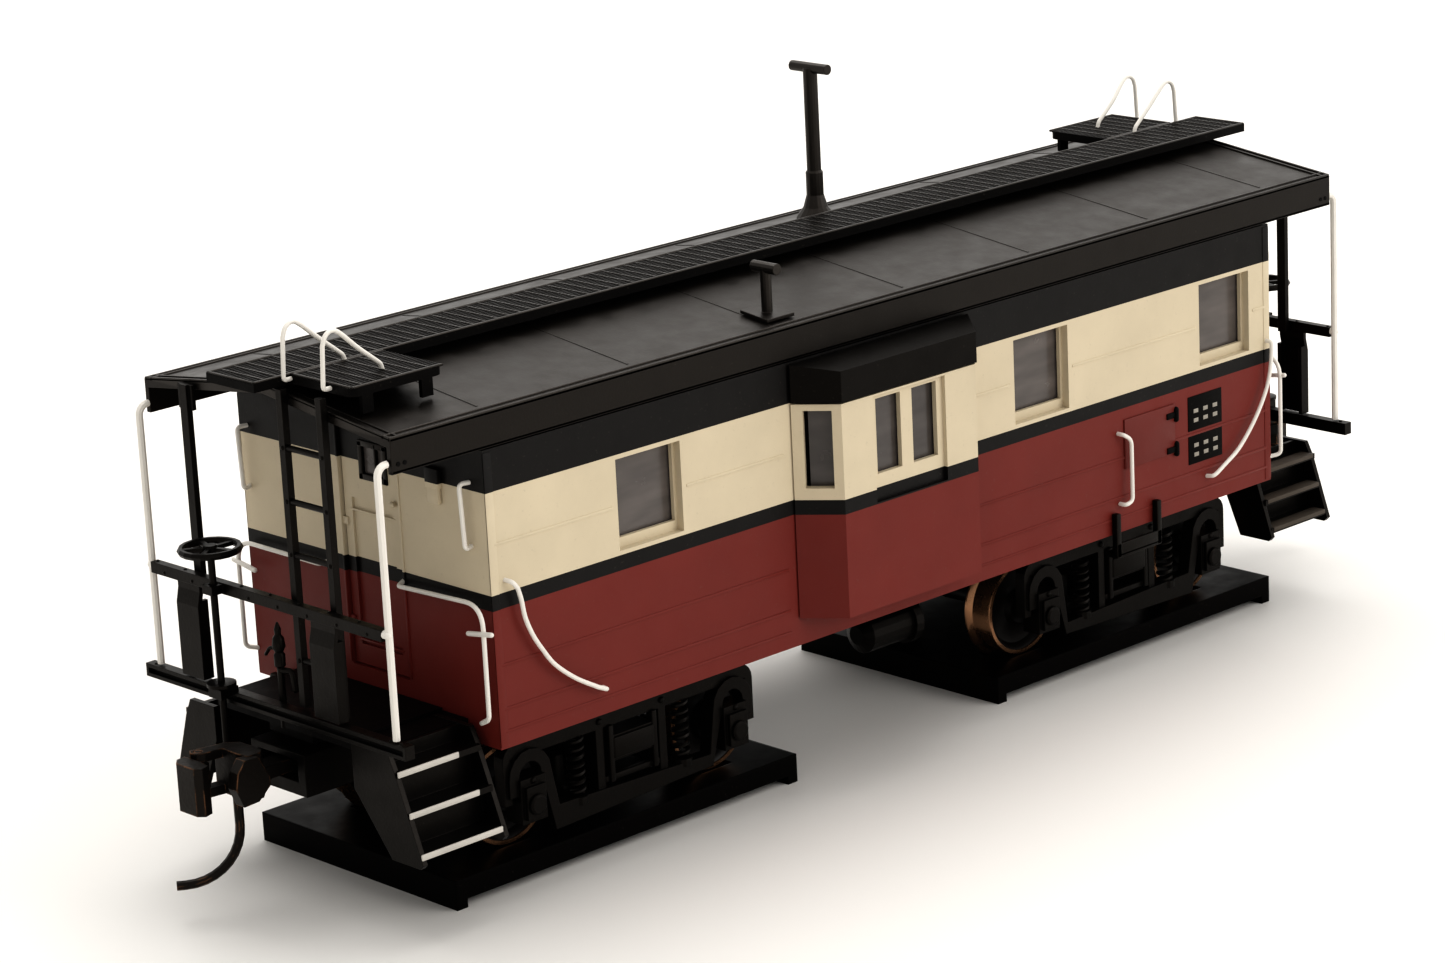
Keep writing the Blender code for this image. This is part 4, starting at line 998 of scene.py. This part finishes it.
def light():
    """A bright surround, dimmer towards the front end, a lamp overhead and one on the right side."""
    world = bpy.data.worlds.new("studio")
    bpy.context.scene.world = world
    world.use_nodes = True
    tree = world.node_tree
    background = tree.nodes["Background"]
    background.inputs["Color"].default_value = (*DAYLIGHT, 1)
    direction = tree.nodes.new("ShaderNodeTexCoord")
    split = tree.nodes.new("ShaderNodeSeparateXYZ")
    tree.links.new(direction.outputs["Generated"], split.inputs["Vector"])
    strength = tree.nodes.new("ShaderNodeMapRange")
    limits = {"From Min": -1.0, "From Max": 1.0, "To Min": 0.53, "To Max": 0.95}
    for key, value in limits.items():
        strength.inputs[key].default_value = value
    tree.links.new(split.outputs["X"], strength.inputs["Value"])
    tree.links.new(strength.outputs["Result"], background.inputs["Strength"])
    area_light("overhead", (150, 220, 800), 0.8, 3.6)
    area_light("side", (350, -700, 350), 0.5, 1.5)


def camera():
    """The photograph's view: a long lens, from the right of the front end and a little above."""
    azimuth = math.radians(-43.05)
    elevation = math.radians(15.97)
    roll = math.radians(-2.86)
    right = Vector((math.cos(azimuth), math.sin(azimuth), 0))
    back = Vector(
        (
            math.sin(azimuth) * math.cos(elevation),
            -math.cos(azimuth) * math.cos(elevation),
            math.sin(elevation),
        )
    )
    up = back.cross(right)
    across = right * math.cos(roll) + up * math.sin(roll)
    upright = up * math.cos(roll) - right * math.sin(roll)
    place = Matrix((across, upright, back)).transposed().to_4x4()
    place.translation = Vector((-266.5, -276.0, 133.4)) * MM
    data = bpy.data.cameras.new("camera")
    data.sensor_width = 36
    data.lens = 104.4
    data.clip_start = 0.01
    data.clip_end = 20
    thing = bpy.data.objects.new("camera", data)
    bpy.context.collection.objects.link(thing)
    thing.matrix_world = place
    bpy.context.scene.camera = thing


def build():
    """Paints the CAD, adds every piece and sets up the view."""
    paint_cad()
    for end, turn in ENDS:
        end_handrails(end, turn)
        step_fittings(end, turn)
        end_wall_fittings(end, turn)
        platform_fittings(end, turn)
        springs(end, turn)
        truck_detail(end, turn)
        wheels(end, turn, "outer", -TRUCK_X - HALF_WHEELBASE)
        wheels(end, turn, "inner", -TRUCK_X + HALF_WHEELBASE)
    for word, mirror in (("right", False), ("left", True)):
        side_rails(word, mirror)
        side_fittings(word, mirror)
    roof_detail()
    running_board_detail()
    floor()
    light()
    camera()
    bpy.context.scene.view_settings.view_transform = "Standard"
    bpy.context.scene.view_settings.look = "High Contrast"


build()
